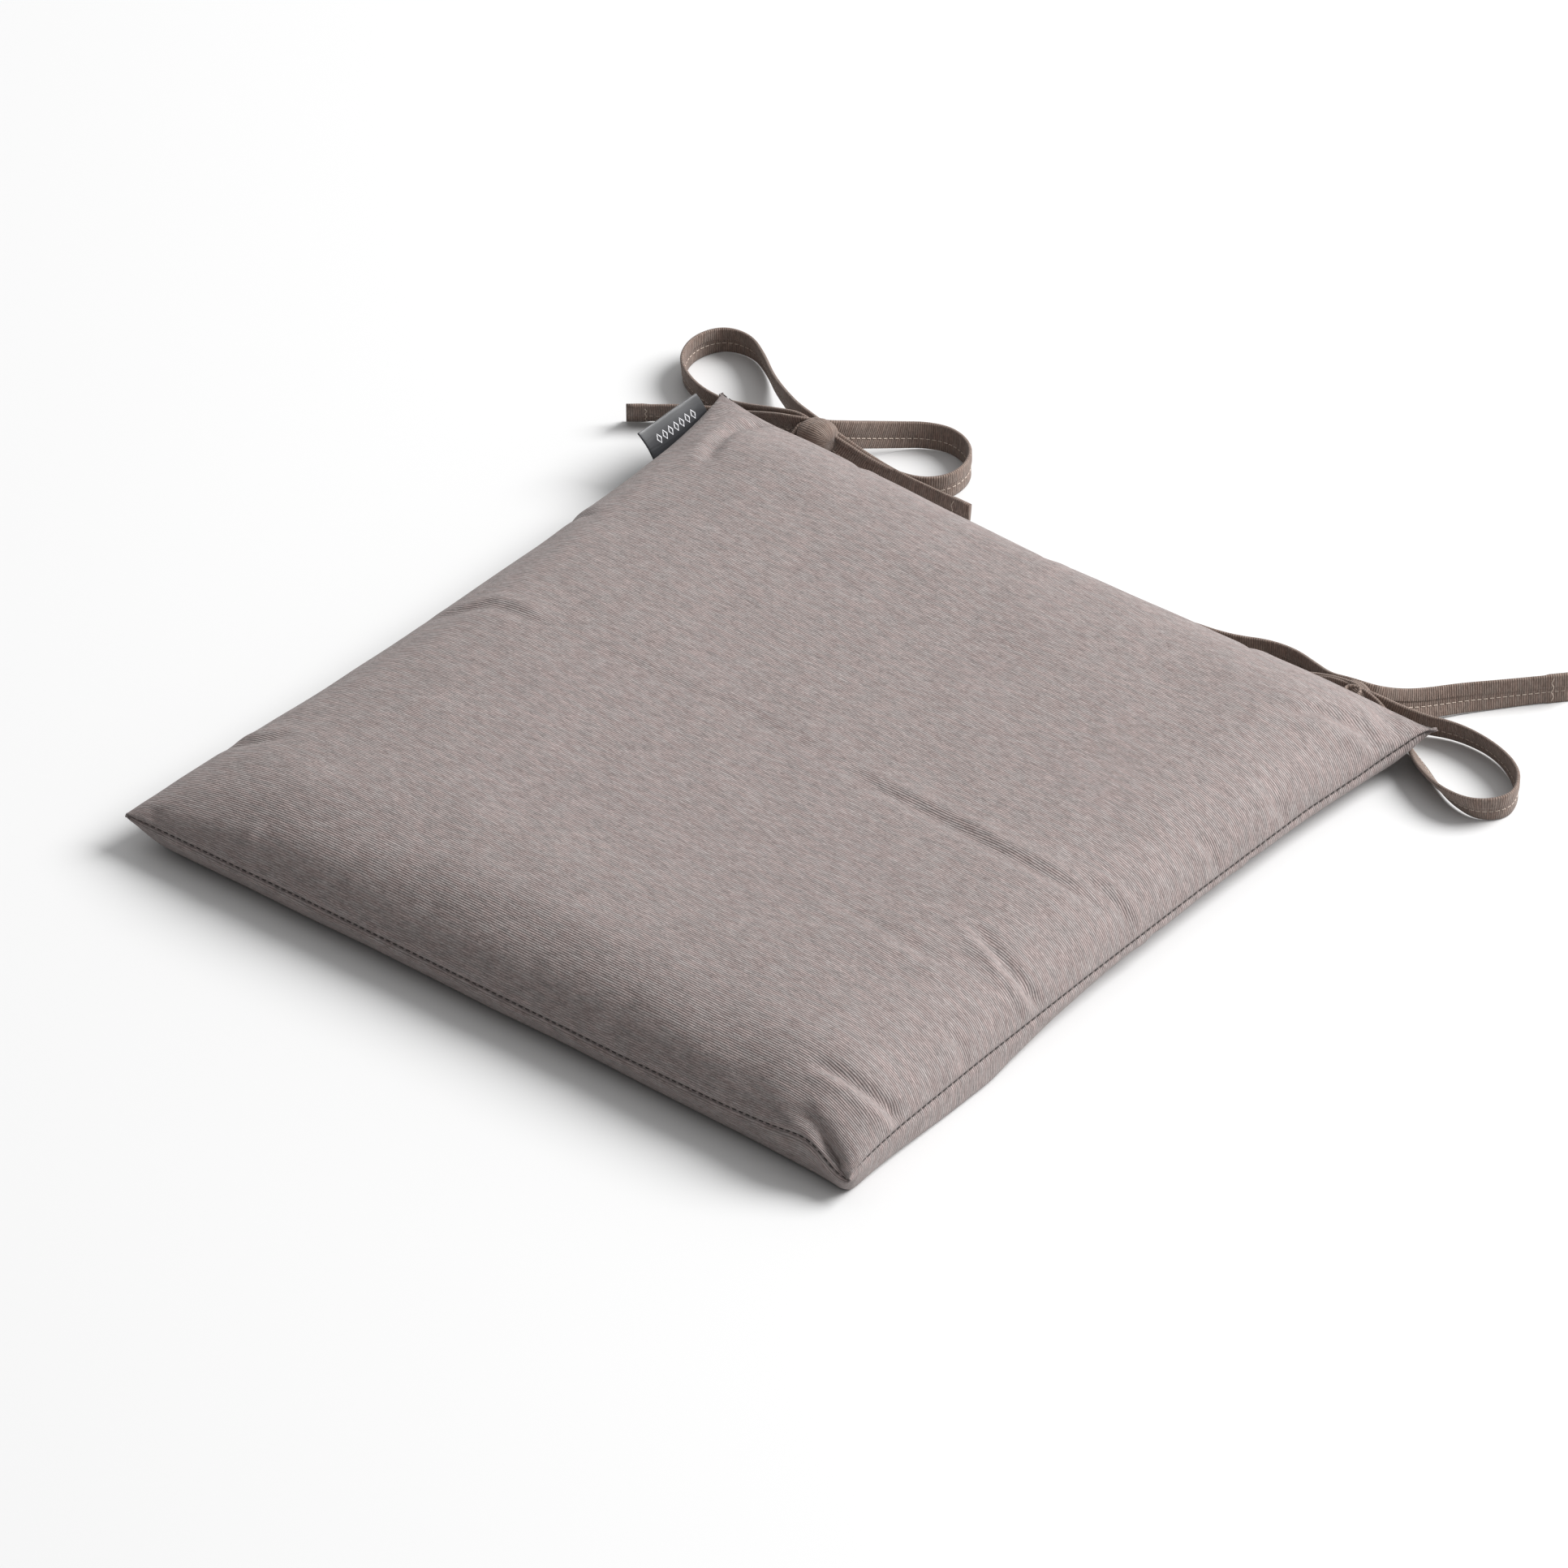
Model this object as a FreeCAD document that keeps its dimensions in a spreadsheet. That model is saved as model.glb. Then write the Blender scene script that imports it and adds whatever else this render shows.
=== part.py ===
"""Tie-on chair seat pad: a knife-edge cushion with two pairs of flat ties, each tied in a bow.

Frame: millimetres, +Z up, +X to the sitter's right, +Y to the rear, where the ties are.
The origin is the middle of the flat underside, so the pad rests on the plane Z = 0.
"""
import FreeCAD
import Part
import math
import os

import Sketcher

Vector = FreeCAD.Vector

# ---------------------------------------------------------------- driving dimensions (mm)
SIZES = {
    "pad_side": 460.0,            # ear tip to ear tip along one side
    "pad_height": 55.0,           # floor to crown
    "seam_height": 20.0,          # floor to the closing seam
    "side_pull": 18.0,            # how far each side is drawn in at its middle
    "crown_inset": 61.0,          # from the seam in to where the top goes flat
    "base_inset": 26.0,           # from the seam in to the flat resting face
    "ear_round": 6.0,             # corner radius at the seam
    "shoulder_round": 32.0,       # corner radius at the crown and at the base
    "cover_thickness": 1.0,       # woven cover
    "seam_allowance": 8.0,        # cover turned in behind the seam
    "stitch_inset": 2.0,          # closing stitch, in from the edge
    "thread_thickness": 0.6,      # closing thread, and the gap it bridges
    "soft_gap": 0.3,              # running gap between soft pieces
    "wadding_thickness": 4.0,     # loft of the wadding over and under the foam
    "foam_inset": 30.0,           # from the line between two ear tips in to the foam's side
    "foam_corner": 25.0,
    "foam_edge": 20.0,            # rounding of the compressed foam's edges
    "tie_width": 16.0,
    "tie_thickness": 2.2,
    "bow_from_corner": 53.0,      # ear tip to the middle of the knot, along the side
    "knot_stand_off": 9.0,        # from the seam to the knot
    "knot_length": 16.0,          # at mid depth
    "knot_depth": 15.0,
    "knot_height": 18.0,
    "knot_centre_height": 24.0,
    "knot_slant": 28.0,           # degrees, the right-hand face turned towards the rear
    "root_spacing": 8.0,          # between the two ties of a pair where they leave the seam
    "label_length": 47.0,
    "label_height": 17.5,         # standing out of the seam
    "label_thickness": 0.8,
    "label_from_corner": 41.5,    # ear tip to the middle of the label, along the side
    "label_lean": 28.0,           # degrees outwards from upright
}

# Angles of the sections between the seam (0) and the flat face (90)
SECTION_ANGLES = (0, 18, 36, 54, 72, 90)
# Share of the seam's pull that is left in the sides of the flat faces
FLAT_FACE_PULL = 0.06
# Share of the shorter run that an arc of a tie's route takes up
ARC_SHARE = 0.45
# How near two heights are to count as one, when edges are picked by their place
SAME_HEIGHT = 0.01

# A free tie's route, from the knot's centre in x and y, and from the floor in z. The loop leaves
# one face of the knot and comes back to it; the tail leaves the other face. Chosen by hand.
LEFT_INNER_LOOP = [
    (-8, 0, 24), (-21, 0, 21), (-39, 2.5, 14), (-60, 3, 8.6), (-82, 6, 8.3), (-102, 17, 8.3),
    (-110, 36, 8.3), (-103, 54, 8.3), (-85, 59, 8.3), (-69, 47, 8.6), (-53, 28, 13),
    (-35, 11.5, 19), (-20, 3.2, 22.5), (-8, 3.2, 24),
]
LEFT_INNER_TAIL = [
    (9.5, -2.8, 24), (17, 1.2, 20.5), (32, 6.5, 13.5), (53, 8, 8.6), (76, 7, 8.3), (98, 9, 8.3),
]
LEFT_OUTER_LOOP = [
    (8, 0, 24), (17.7, 5.2, 21), (31, 11, 15), (47, 16, 9), (65, 19, 8.3), (76, 29, 8.3),
    (75, 45, 8.3), (61, 56, 8.3), (44, 57, 9), (31, 47, 12), (25, 32, 17), (20, 18, 21),
    (15, 7.3, 23), (6.5, 2.83, 24),
]
LEFT_OUTER_TAIL = [
    (-8, -3.2, 24), (-21, -3.2, 20), (-38, -2.2, 13), (-56, -2.5, 8.6), (-76, -12, 8.3),
    (-98, -31, 8.3),
]
RIGHT_OUTER_LOOP = [
    (-8, 0, 24), (-20, 0, 20), (-38, -5, 13), (-57, -10, 8.6), (-75, -12.5, 8.3),
    (-90, -14, 8.3), (-104, -13.5, 8.3), (-113, -6, 8.3), (-107, 2, 8.3), (-93, 2.5, 8.3),
    (-80, 5, 8.3), (-67, 11, 8.3), (-53, 15.5, 8.6), (-37, 12.5, 11), (-20, 3.2, 19), (-8, 3.2, 24),
]
RIGHT_OUTER_TAIL = [
    (6.5, 2.83, 24), (14.6, 7.13, 20.5), (23, 20, 14), (33, 37, 10.5), (44, 52, 9), (56, 67, 8.4),
    (69, 82, 8.4),
]
RIGHT_INNER_LOOP = [
    (9.5, -2.8, 24), (17.6, 1.5, 21), (33, 3.5, 14), (52, 4.5, 9), (65, -4, 8.4), (70, -20, 8.3),
    (82, -33, 8.3), (98, -32, 8.3), (107, -17, 8.3), (99, 2, 8.3), (80, 13, 8.3), (59, 16, 8.6),
    (39, 12, 12), (20, 6.4, 19.5), (8, 0, 24),
]
RIGHT_INNER_TAIL = [
    (-8, -3.2, 24), (-20, -3.2, 19), (-37, -10, 12), (-55, -15, 8.6), (-73, -17.5, 8.3),
    (-90, -19, 8.3),
]

# name: side of the pad (-1 left, 1 right), side of the knot its root is on, loop, tail
TIES = {
    "left_inner_tie": (-1, 1, LEFT_INNER_LOOP, LEFT_INNER_TAIL),
    "left_outer_tie": (-1, -1, LEFT_OUTER_LOOP, LEFT_OUTER_TAIL),
    "right_inner_tie": (1, -1, RIGHT_INNER_LOOP, RIGHT_INNER_TAIL),
    "right_outer_tie": (1, 1, RIGHT_OUTER_LOOP, RIGHT_OUTER_TAIL),
}

document = FreeCAD.newDocument("chair_seat_pad")
sheet = document.addObject("Spreadsheet::Sheet", "sizes")
for row, (alias, number) in enumerate(SIZES.items(), start=1):
    sheet.set(f"A{row}", alias.replace("_", " "))
    sheet.set(f"B{row}", str(number))
    sheet.setAlias(f"B{row}", alias)
document.recompute()


def size(alias):
    """The value of one cell of the sheet."""
    return float(sheet.get(alias))


# ---------------------------------------------------------------- outlines
def blend(**factors):
    """A weighted sum of cells, as a number and as the expression that binds it."""
    number = sum(factor * size(alias) for alias, factor in factors.items())
    text = " + ".join(f"{factor:.6f} * sizes.{alias}" for alias, factor in factors.items())
    return number, text


def side_arc(tip, pull):
    """Radius of a side drawn in by pull between two corners at tip, and its centre's distance."""
    radius = (tip * tip + pull * pull) / (2 * pull)
    return radius, tip - pull + radius


def quarter_turn(point, count):
    """The point turned about the origin by count quarter turns."""
    for _ in range(count):
        point = Vector(-point.y, point.x, 0)
    return point


def arc_between(centre, start, end, radius):
    """The shorter arc of a circle from start to end, counterclockwise."""
    first = math.atan2(start.y - centre.y, start.x - centre.x)
    last = math.atan2(end.y - centre.y, end.x - centre.x)
    circle = Part.Circle(centre, Vector(0, 0, 1), radius)
    return Part.ArcOfCircle(circle, first, last)


def add_outline(sketch, tip, pull, corner):
    """Four drawn-in sides joined by four round corners, tangent all round and bound to the sheet."""
    tip_value, tip_text = tip
    pull_value, pull_text = pull
    corner_value, corner_text = corner
    radius, distance = side_arc(tip_value, pull_value)
    reach = radius + corner_value
    diagonal = (distance - math.sqrt(2 * reach * reach - distance * distance)) / 2
    side_centre = Vector(distance, 0, 0)
    corner_centre = Vector(diagonal, diagonal, 0)
    upper = side_centre + (corner_centre - side_centre) * (radius / reach)
    lower = Vector(upper.x, -upper.y, 0)
    across = Vector(upper.y, upper.x, 0)

    sides = []
    corners = []
    for turn in range(4):
        centre = quarter_turn(side_centre, turn)
        # The side bulges inwards, so it runs counterclockwise from its upper to its lower end
        side = arc_between(centre, quarter_turn(upper, turn), quarter_turn(lower, turn), radius)
        sides.append(sketch.addGeometry(side, False))
        centre = quarter_turn(corner_centre, turn)
        round_arc = arc_between(centre, quarter_turn(upper, turn), quarter_turn(across, turn),
                                corner_value)
        corners.append(sketch.addGeometry(round_arc, False))

    start, end, middle = 1, 2, 3
    for turn in range(4):
        following = (turn + 1) % 4
        sketch.addConstraint(Sketcher.Constraint("Tangent", corners[turn], start,
                                                 sides[turn], start))
        sketch.addConstraint(Sketcher.Constraint("Tangent", corners[turn], end,
                                                 sides[following], end))
    for turn in range(1, 4):
        sketch.addConstraint(Sketcher.Constraint("Equal", sides[0], sides[turn]))
        sketch.addConstraint(Sketcher.Constraint("Equal", corners[0], corners[turn]))
    horizontal_axis, vertical_axis = -1, -2
    for turn in range(4):
        axis = horizontal_axis if turn % 2 == 0 else vertical_axis
        sketch.addConstraint(Sketcher.Constraint("PointOnObject", sides[turn], middle, axis))

    radius_text = f"((({tip_text})^2 + ({pull_text})^2) / (2 * ({pull_text})))"
    distance_text = f"({tip_text}) - ({pull_text}) + {radius_text}"
    for turn in range(4):
        kind = "DistanceX" if turn % 2 == 0 else "DistanceY"
        if turn < 2:
            ends = (-1, 1, sides[turn], middle)
        else:
            ends = (sides[turn], middle, -1, 1)
        place = sketch.addConstraint(Sketcher.Constraint(kind, *ends, distance))
        sketch.setExpression(f"Constraints[{place}]", distance_text)
    place = sketch.addConstraint(Sketcher.Constraint("Radius", sides[0], radius))
    sketch.setExpression(f"Constraints[{place}]", radius_text)
    place = sketch.addConstraint(Sketcher.Constraint("Radius", corners[0], corner_value))
    sketch.setExpression(f"Constraints[{place}]", corner_text)


def ground_plane(body):
    """The body's own XY plane."""
    return next(item for item in body.Origin.OriginFeatures if item.Role == "XY_Plane")


def flat_sketch(body, name, height):
    """An empty sketch in the body, parallel to the floor at a bound height."""
    sketch = body.newObject("Sketcher::SketchObject", name)
    sketch.AttachmentSupport = [(ground_plane(body), "")]
    sketch.MapMode = "FlatFace"
    value, text = height
    sketch.AttachmentOffset = FreeCAD.Placement(Vector(0, 0, value), FreeCAD.Rotation())
    sketch.setExpression("AttachmentOffset.Base.z", text)
    return sketch


def outline_terms(angle, inset_cell, inward):
    """Tip distance, side pull and corner radius of the section at an angle from the seam.

    inward holds the cells that the section stands inside the cover's outer face.
    """
    cosine = math.cos(math.radians(angle))
    sine = math.sin(math.radians(angle))
    inward_terms = {alias: -factor for alias, factor in inward.items()}
    tip_terms = {"pad_side": 0.5, inset_cell: cosine - 1}
    tip_terms.update(inward_terms)
    pull = blend(side_pull=FLAT_FACE_PULL + (1 - FLAT_FACE_PULL) * cosine * cosine)
    corner = blend(ear_round=1 - sine, shoulder_round=sine)
    return blend(**tip_terms), pull, corner


def level_terms(angle, upwards, seam_offset, face_offset):
    """Height of the section at an angle: offsets are cells added at the seam and at the face."""
    sine = math.sin(math.radians(angle))
    if upwards:
        terms = {"seam_height": 1 - sine, "pad_height": sine}
        sign = 1
    else:
        terms = {"seam_height": 1 - sine}
        sign = -1
    for alias, factor in seam_offset.items():
        terms[alias] = terms.get(alias, 0) + sign * factor * (1 - sine)
    for alias, factor in face_offset.items():
        terms[alias] = terms.get(alias, 0) - sign * factor * sine
    return blend(**terms)


def loft(body, name, kind, upwards, inward, seam_offset, face_offset):
    """A loft from the seam to the crown or to the base, through ruled sections."""
    inset_cell = "crown_inset" if upwards else "base_inset"
    sections = []
    for angle in SECTION_ANGLES:
        level = level_terms(angle, upwards, seam_offset, face_offset)
        sketch = flat_sketch(body, f"{name}_section_{angle}", level)
        add_outline(sketch, *outline_terms(angle, inset_cell, inward))
        sections.append(sketch)
    document.recompute()
    feature = body.newObject(kind, name)
    feature.Profile = sections[0]
    feature.Sections = sections[1:]
    feature.Ruled = True
    document.recompute()
    return feature


# ---------------------------------------------------------------- cover
def new_body(name):
    """A PartDesign body whose label names its file."""
    body = document.addObject("PartDesign::Body", name)
    body.Label = name
    return body


def make_panel(name, upwards):
    """One half of the cover: a shell with its seam allowance turned in at the seam."""
    body = new_body(name)
    half_thread = {"thread_thickness": 0.5}
    behind_edge = {"thread_thickness": 0.5, "cover_thickness": 1}
    cover = {"cover_thickness": 1}
    loft(body, f"{name}_outside", "PartDesign::AdditiveLoft", upwards, {}, half_thread, {})
    loft(body, f"{name}_inside", "PartDesign::SubtractiveLoft", upwards, cover, behind_edge, cover)

    sign = 1 if upwards else -1
    below = blend(seam_height=1, cover_thickness=-sign)
    above = blend(seam_height=1, cover_thickness=2 * sign, thread_thickness=sign)
    tip, pull, corner = outline_terms(0, "crown_inset", {"seam_allowance": 1})
    mouth = []
    for part_name, level in (("low", below), ("high", above)):
        sketch = flat_sketch(body, f"{name}_mouth_{part_name}", level)
        add_outline(sketch, tip, pull, corner)
        mouth.append(sketch)
    document.recompute()
    opening = body.newObject("PartDesign::SubtractiveLoft", f"{name}_mouth")
    opening.Profile = mouth[0]
    opening.Sections = mouth[1:]
    opening.Ruled = True
    document.recompute()
    return body


def make_seam_thread():
    """The closing stitch: a thin ring between the two turned-in edges, touching both."""
    body = new_body("seam_thread")
    level = blend(seam_height=1, thread_thickness=-0.5)
    sketch = flat_sketch(body, "seam_thread_line", level)
    outer, pull, corner = outline_terms(0, "crown_inset", {"stitch_inset": 1})
    inner = outline_terms(0, "crown_inset", {"stitch_inset": 1, "thread_thickness": 1})[0]
    add_outline(sketch, outer, pull, corner)
    add_outline(sketch, inner, pull, corner)
    document.recompute()
    pad = body.newObject("PartDesign::Pad", "seam_thread_pad")
    pad.Profile = sketch
    pad.setExpression("Length", "sizes.thread_thickness")
    document.recompute()
    return body


# ---------------------------------------------------------------- filling
def rounded_slab(name, growth):
    """The foam's shape, grown all round by growth times the soft gap."""
    inset = {"cover_thickness": 1, "soft_gap": 2 - growth, "wadding_thickness": 1}
    low = blend(**inset)
    height = blend(pad_height=1, **{alias: -2 * factor for alias, factor in inset.items()})
    side = blend(pad_side=1, foam_inset=-2, soft_gap=2 * growth)

    slab = document.addObject("Part::Box", f"{name}_slab")
    for prop in ("Length", "Width"):
        slab.setExpression(prop, side[1])
    slab.setExpression("Height", height[1])
    for axis in ("x", "y"):
        slab.setExpression(f"Placement.Base.{axis}", f"-0.5 * ({side[1]})")
    slab.setExpression("Placement.Base.z", low[1])
    document.recompute()

    corner = size("foam_corner")
    edge = size("foam_edge")
    upright = []
    flat = []
    for number, item in enumerate(slab.Shape.Edges, start=1):
        direction = item.tangentAt(item.FirstParameter)
        if abs(direction.z) > 0.5:
            upright.append((number, corner, corner))
        else:
            flat.append((number, edge, edge))
    rounded = document.addObject("Part::Fillet", f"{name}_corners")
    rounded.Base = slab
    rounded.Edges = upright
    document.recompute()

    level_edges = []
    bottom = rounded.Shape.BoundBox.ZMin
    top = rounded.Shape.BoundBox.ZMax
    for number, item in enumerate(rounded.Shape.Edges, start=1):
        box = item.BoundBox
        level = box.ZMax - box.ZMin < SAME_HEIGHT
        if level and min(abs(box.ZMin - bottom), abs(box.ZMin - top)) < SAME_HEIGHT:
            level_edges.append((number, edge, edge))
    softened = document.addObject("Part::Fillet", name)
    softened.Base = rounded
    softened.Edges = level_edges
    softened.Label = name
    document.recompute()
    return softened


def make_wadding(name, upwards, foam_space):
    """A wadding sheet that fills one half of the cover around the foam."""
    filling = document.addObject("PartDesign::Body", f"{name}_filling")
    inward = {"cover_thickness": 1, "soft_gap": 2}
    behind_edge = {"thread_thickness": 0.5, "cover_thickness": 1, "soft_gap": 2}
    loft(filling, f"{name}_shape", "PartDesign::AdditiveLoft", upwards, inward, behind_edge, inward)
    wadding = document.addObject("Part::Cut", name)
    wadding.Label = name
    wadding.Base = filling
    wadding.Tool = foam_space
    document.recompute()
    return wadding


# ---------------------------------------------------------------- label
def seam_line(along):
    """Distance of the seam's edge from the pad's middle, at a distance along its side."""
    radius, centre = side_arc(size("pad_side") / 2, size("side_pull"))
    return centre - math.sqrt(radius * radius - along * along)


def make_label():
    """The woven label: a folded tab held in the left seam near the rear corner, leaning out."""
    label = document.addObject("Part::Box", "side_label")
    label.Label = "side_label"
    label.setExpression("Length", "sizes.label_thickness")
    label.setExpression("Width", "sizes.label_length")
    label.setExpression("Height", "sizes.label_height")
    middle = size("pad_side") / 2 - size("label_from_corner")
    half = size("label_length") / 2
    near = seam_line(middle - half)
    far = seam_line(middle + half)
    turn = math.degrees(math.atan2(far - near, size("label_length")))
    lean = size("label_lean")
    rotation = FreeCAD.Rotation(Vector(0, 0, 1), turn)
    rotation = rotation.multiply(FreeCAD.Rotation(Vector(0, 1, 0), -lean))
    # The lower inner edge lies just outside the seam along its whole length
    foot = Vector(-near - size("soft_gap"), middle - half, size("seam_height"))
    thickness = rotation.multVec(Vector(size("label_thickness"), 0, 0))
    label.Placement = FreeCAD.Placement(foot - thickness, rotation)
    document.recompute()
    return label


# ---------------------------------------------------------------- bows
def knot_centre(side):
    """Middle of the knot on the left (-1) or right (1)."""
    along = size("pad_side") / 2 - size("bow_from_corner")
    rear = seam_line(along) + size("knot_stand_off") + size("knot_depth") / 2
    return Vector(side * along, rear, size("knot_centre_height"))


def make_knot(name, side):
    """The knot of a bow: a wedge whose slanted face looks right and to the rear."""
    knot = document.addObject("Part::Wedge", name)
    knot.Label = name
    flare = "sizes.knot_depth / 2 * tan(sizes.knot_slant * 1deg)"
    bounds = {
        "Xmin": "0", "X2min": "0", "Ymin": "0", "Zmin": "0", "Z2min": "0",
        "Xmax": f"sizes.knot_length + {flare}",
        "X2max": f"sizes.knot_length - {flare}",
        "Ymax": "sizes.knot_depth",
        "Zmax": "sizes.knot_height",
        "Z2max": "sizes.knot_height",
    }
    for prop, text in bounds.items():
        knot.setExpression(prop, text)
    half = Vector(size("knot_length"), size("knot_depth"), size("knot_height")) * 0.5
    knot.Placement = FreeCAD.Placement(knot_centre(side) - half, FreeCAD.Rotation())
    document.recompute()
    return knot


def round_route(points, name):
    """Straight runs joined by tangent arcs, each as large as its two runs allow."""
    corners = [Vector(*point) for point in points]
    edges = []
    radii = []
    last = corners[0]
    for before, corner, after in zip(corners, corners[1:], corners[2:]):
        incoming = corner - before
        outgoing = after - corner
        turn = incoming.getAngle(outgoing)
        trim = ARC_SHARE * min(incoming.Length, outgoing.Length)
        radius = trim / math.tan(turn / 2)
        radii.append(radius)
        start = corner - incoming.normalize() * trim
        end = corner + outgoing.normalize() * trim
        inward = (start + end) * 0.5 - corner
        centre_distance = math.hypot(radius, trim)
        summit = corner + inward.normalize() * (centre_distance - radius)
        edges.append(Part.LineSegment(last, start).toShape())
        edges.append(Part.Arc(start, summit, end).toShape())
        last = end
    edges.append(Part.LineSegment(last, corners[-1]).toShape())
    wire = Part.Wire(edges)
    print(f"{name}: {wire.Length:.1f} mm, arc radii", " ".join(f"{radius:.0f}" for radius in radii))
    return wire


def sweep_ribbon(points, name):
    """A flat tape on its edge, swept along the route with its width always upright."""
    spine = round_route(points, name)
    start = Vector(*points[0])
    heading = Vector(*points[1]) - start
    heading.z = 0
    heading.normalize()
    across = Vector(-heading.y, heading.x, 0) * (size("tie_thickness") / 2)
    upright = Vector(0, 0, size("tie_width") / 2)
    ends = [start - across - upright, start + across - upright,
            start + across + upright, start - across + upright]
    section = Part.makePolygon(ends + ends[:1])
    pipe = Part.BRepOffsetAPI.MakePipeShell(spine)
    pipe.setBiNormalMode(Vector(0, 0, 1))
    pipe.add(section, False, False)
    pipe.build()
    pipe.makeSolid()
    ribbon = pipe.shape()
    expected = size("tie_thickness") * size("tie_width") * spine.Length
    print(f"{name}: volume {ribbon.Volume:.0f} of {expected:.0f} cubic mm")
    return ribbon, spine.Length


def make_root(side, root_side):
    """The short stretch of a tie from the seam to the front of the knot."""
    centre = knot_centre(side)
    thickness = size("tie_thickness")
    middle = centre.x + root_side * size("root_spacing") / 2
    outermost = abs(middle) + thickness / 2
    start = seam_line(outermost) + size("soft_gap")
    end = centre.y - size("knot_depth") / 2
    corner = Vector(middle - thickness / 2, start, centre.z - size("tie_width") / 2)
    return Part.makeBox(thickness, end - start, size("tie_width"), corner), end - start


def make_tie(name, side, root_side, loop_points, tail_points):
    """One tie of a bow: its root, its loop and its tail, each meeting the knot face to face."""
    centre = knot_centre(side)
    root, length = make_root(side, root_side)
    solids = [root]
    through_knot = size("knot_length")
    for part_name, points in (("loop", loop_points), ("tail", tail_points)):
        placed = [(x + centre.x, y + centre.y, z) for x, y, z in points]
        ribbon, run = sweep_ribbon(placed, f"{name} {part_name}")
        solids.append(ribbon)
        length += run + through_knot
    tie = document.addObject("Part::Feature", name)
    tie.Label = name
    tie.Shape = Part.makeCompound(solids)
    tie.Placement = FreeCAD.Placement()
    print(f"{name}: whole length {length:.0f} mm")
    return tie


# ---------------------------------------------------------------- assembly
foam_core = rounded_slab("foam_core", 0)
foam_space = rounded_slab("foam_space", 1)
sub_parts = [
    make_panel("top_panel", True),
    make_panel("bottom_panel", False),
    make_seam_thread(),
    foam_core,
    make_wadding("upper_wadding", True, foam_space),
    make_wadding("lower_wadding", False, foam_space),
    make_label(),
    make_knot("left_bow_knot", -1),
    make_knot("right_bow_knot", 1),
]
for tie_name, (side, root_side, loop_points, tail_points) in TIES.items():
    sub_parts.append(make_tie(tie_name, side, root_side, loop_points, tail_points))
document.recompute()

# ---------------------------------------------------------------- checks and export
for item in document.Objects:
    if "Invalid" in item.State or "Error" in item.State:
        raise RuntimeError(f"{item.Name} did not compute: {item.State}")
os.makedirs("parts", exist_ok=True)
for part in sub_parts:
    shape = part.Shape
    if shape.isNull() or not shape.isValid() or not shape.Solids:
        raise RuntimeError(f"{part.Label} has no valid solid")
    box = shape.BoundBox
    print(f"{part.Label}: {len(shape.Solids)} solid(s), {shape.Volume / 1000:.2f} cm3, "
          f"x {box.XMin:.1f}..{box.XMax:.1f} y {box.YMin:.1f}..{box.YMax:.1f} "
          f"z {box.ZMin:.2f}..{box.ZMax:.2f}")
for part in sub_parts:
    part.Shape.exportStep(f"parts/{part.Label}.step")
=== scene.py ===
"""Tie-on chair seat pad: a stuffed knife-edge cover, its closing seam, a label and two bows.

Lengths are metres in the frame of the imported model: +Z up, +Y to the rear where the bows are,
the origin in the middle of the flat underside. A pattern coordinate is a place on the flat cut
cloth, before it was sewn.
"""
import logging
import math
from dataclasses import dataclass
from enum import Enum
from functools import cache
from typing import Any, Iterable, Sequence

import bpy
import numpy as np
from mathutils import Matrix, Vector


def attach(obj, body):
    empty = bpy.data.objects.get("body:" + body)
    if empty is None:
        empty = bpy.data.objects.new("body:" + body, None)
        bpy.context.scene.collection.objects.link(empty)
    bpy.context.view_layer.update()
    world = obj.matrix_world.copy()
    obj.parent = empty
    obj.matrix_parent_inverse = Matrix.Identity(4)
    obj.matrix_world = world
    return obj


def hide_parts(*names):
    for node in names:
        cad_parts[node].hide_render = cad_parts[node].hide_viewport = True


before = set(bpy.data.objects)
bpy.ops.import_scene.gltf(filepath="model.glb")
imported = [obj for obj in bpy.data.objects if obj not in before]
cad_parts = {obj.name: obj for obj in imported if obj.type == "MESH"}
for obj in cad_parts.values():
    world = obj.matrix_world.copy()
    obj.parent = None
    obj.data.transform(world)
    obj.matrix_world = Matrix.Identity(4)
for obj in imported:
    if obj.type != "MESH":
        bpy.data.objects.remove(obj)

log = logging.getLogger("seat_pad")
MM = 0.001
BODY = "root"
Pair = tuple[float, float]
Triple = tuple[float, float, float]


# ---------------------------------------------------------------- small helpers
def deselect_all() -> None:
    """Leaves nothing selected, so that an operator acts only on what is made next."""
    for item in bpy.context.selected_objects:
        item.select_set(False)


def make_active(piece: bpy.types.Object) -> None:
    """Selects one object alone and makes it the active one."""
    deselect_all()
    piece.select_set(True)
    bpy.context.view_layer.objects.active = piece


def add_piece(name: str, mesh: bpy.types.Mesh) -> bpy.types.Object:
    """Puts a mesh into the scene as an object at the origin."""
    piece = bpy.data.objects.new(name, mesh)
    bpy.context.scene.collection.objects.link(piece)
    return piece


def smooth_mesh(name: str, points: np.ndarray, faces: Iterable[Sequence[int]]) -> bpy.types.Mesh:
    """A smooth-shaded mesh.

    Args:
        name: the mesh's name.
        points: an array of vertices, three numbers each.
        faces: the vertex numbers of each face.

    Returns:
        The new mesh.
    """
    mesh = bpy.data.meshes.new(name)
    mesh.from_pydata(points.tolist(), [], [list(face) for face in faces])
    mesh.polygons.foreach_set("use_smooth", [True] * len(mesh.polygons))
    mesh.update()
    return mesh


def set_pattern(mesh: bpy.types.Mesh, places: np.ndarray) -> None:
    """Stores a pattern coordinate for each vertex as the mesh's UV map named pattern."""
    corners = np.empty(len(mesh.loops), dtype=np.int32)
    mesh.loops.foreach_get("vertex_index", corners)
    layer = mesh.uv_layers.new(name="pattern")
    layer.uv.foreach_set("vector", places[corners].astype(np.float32).ravel())


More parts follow.
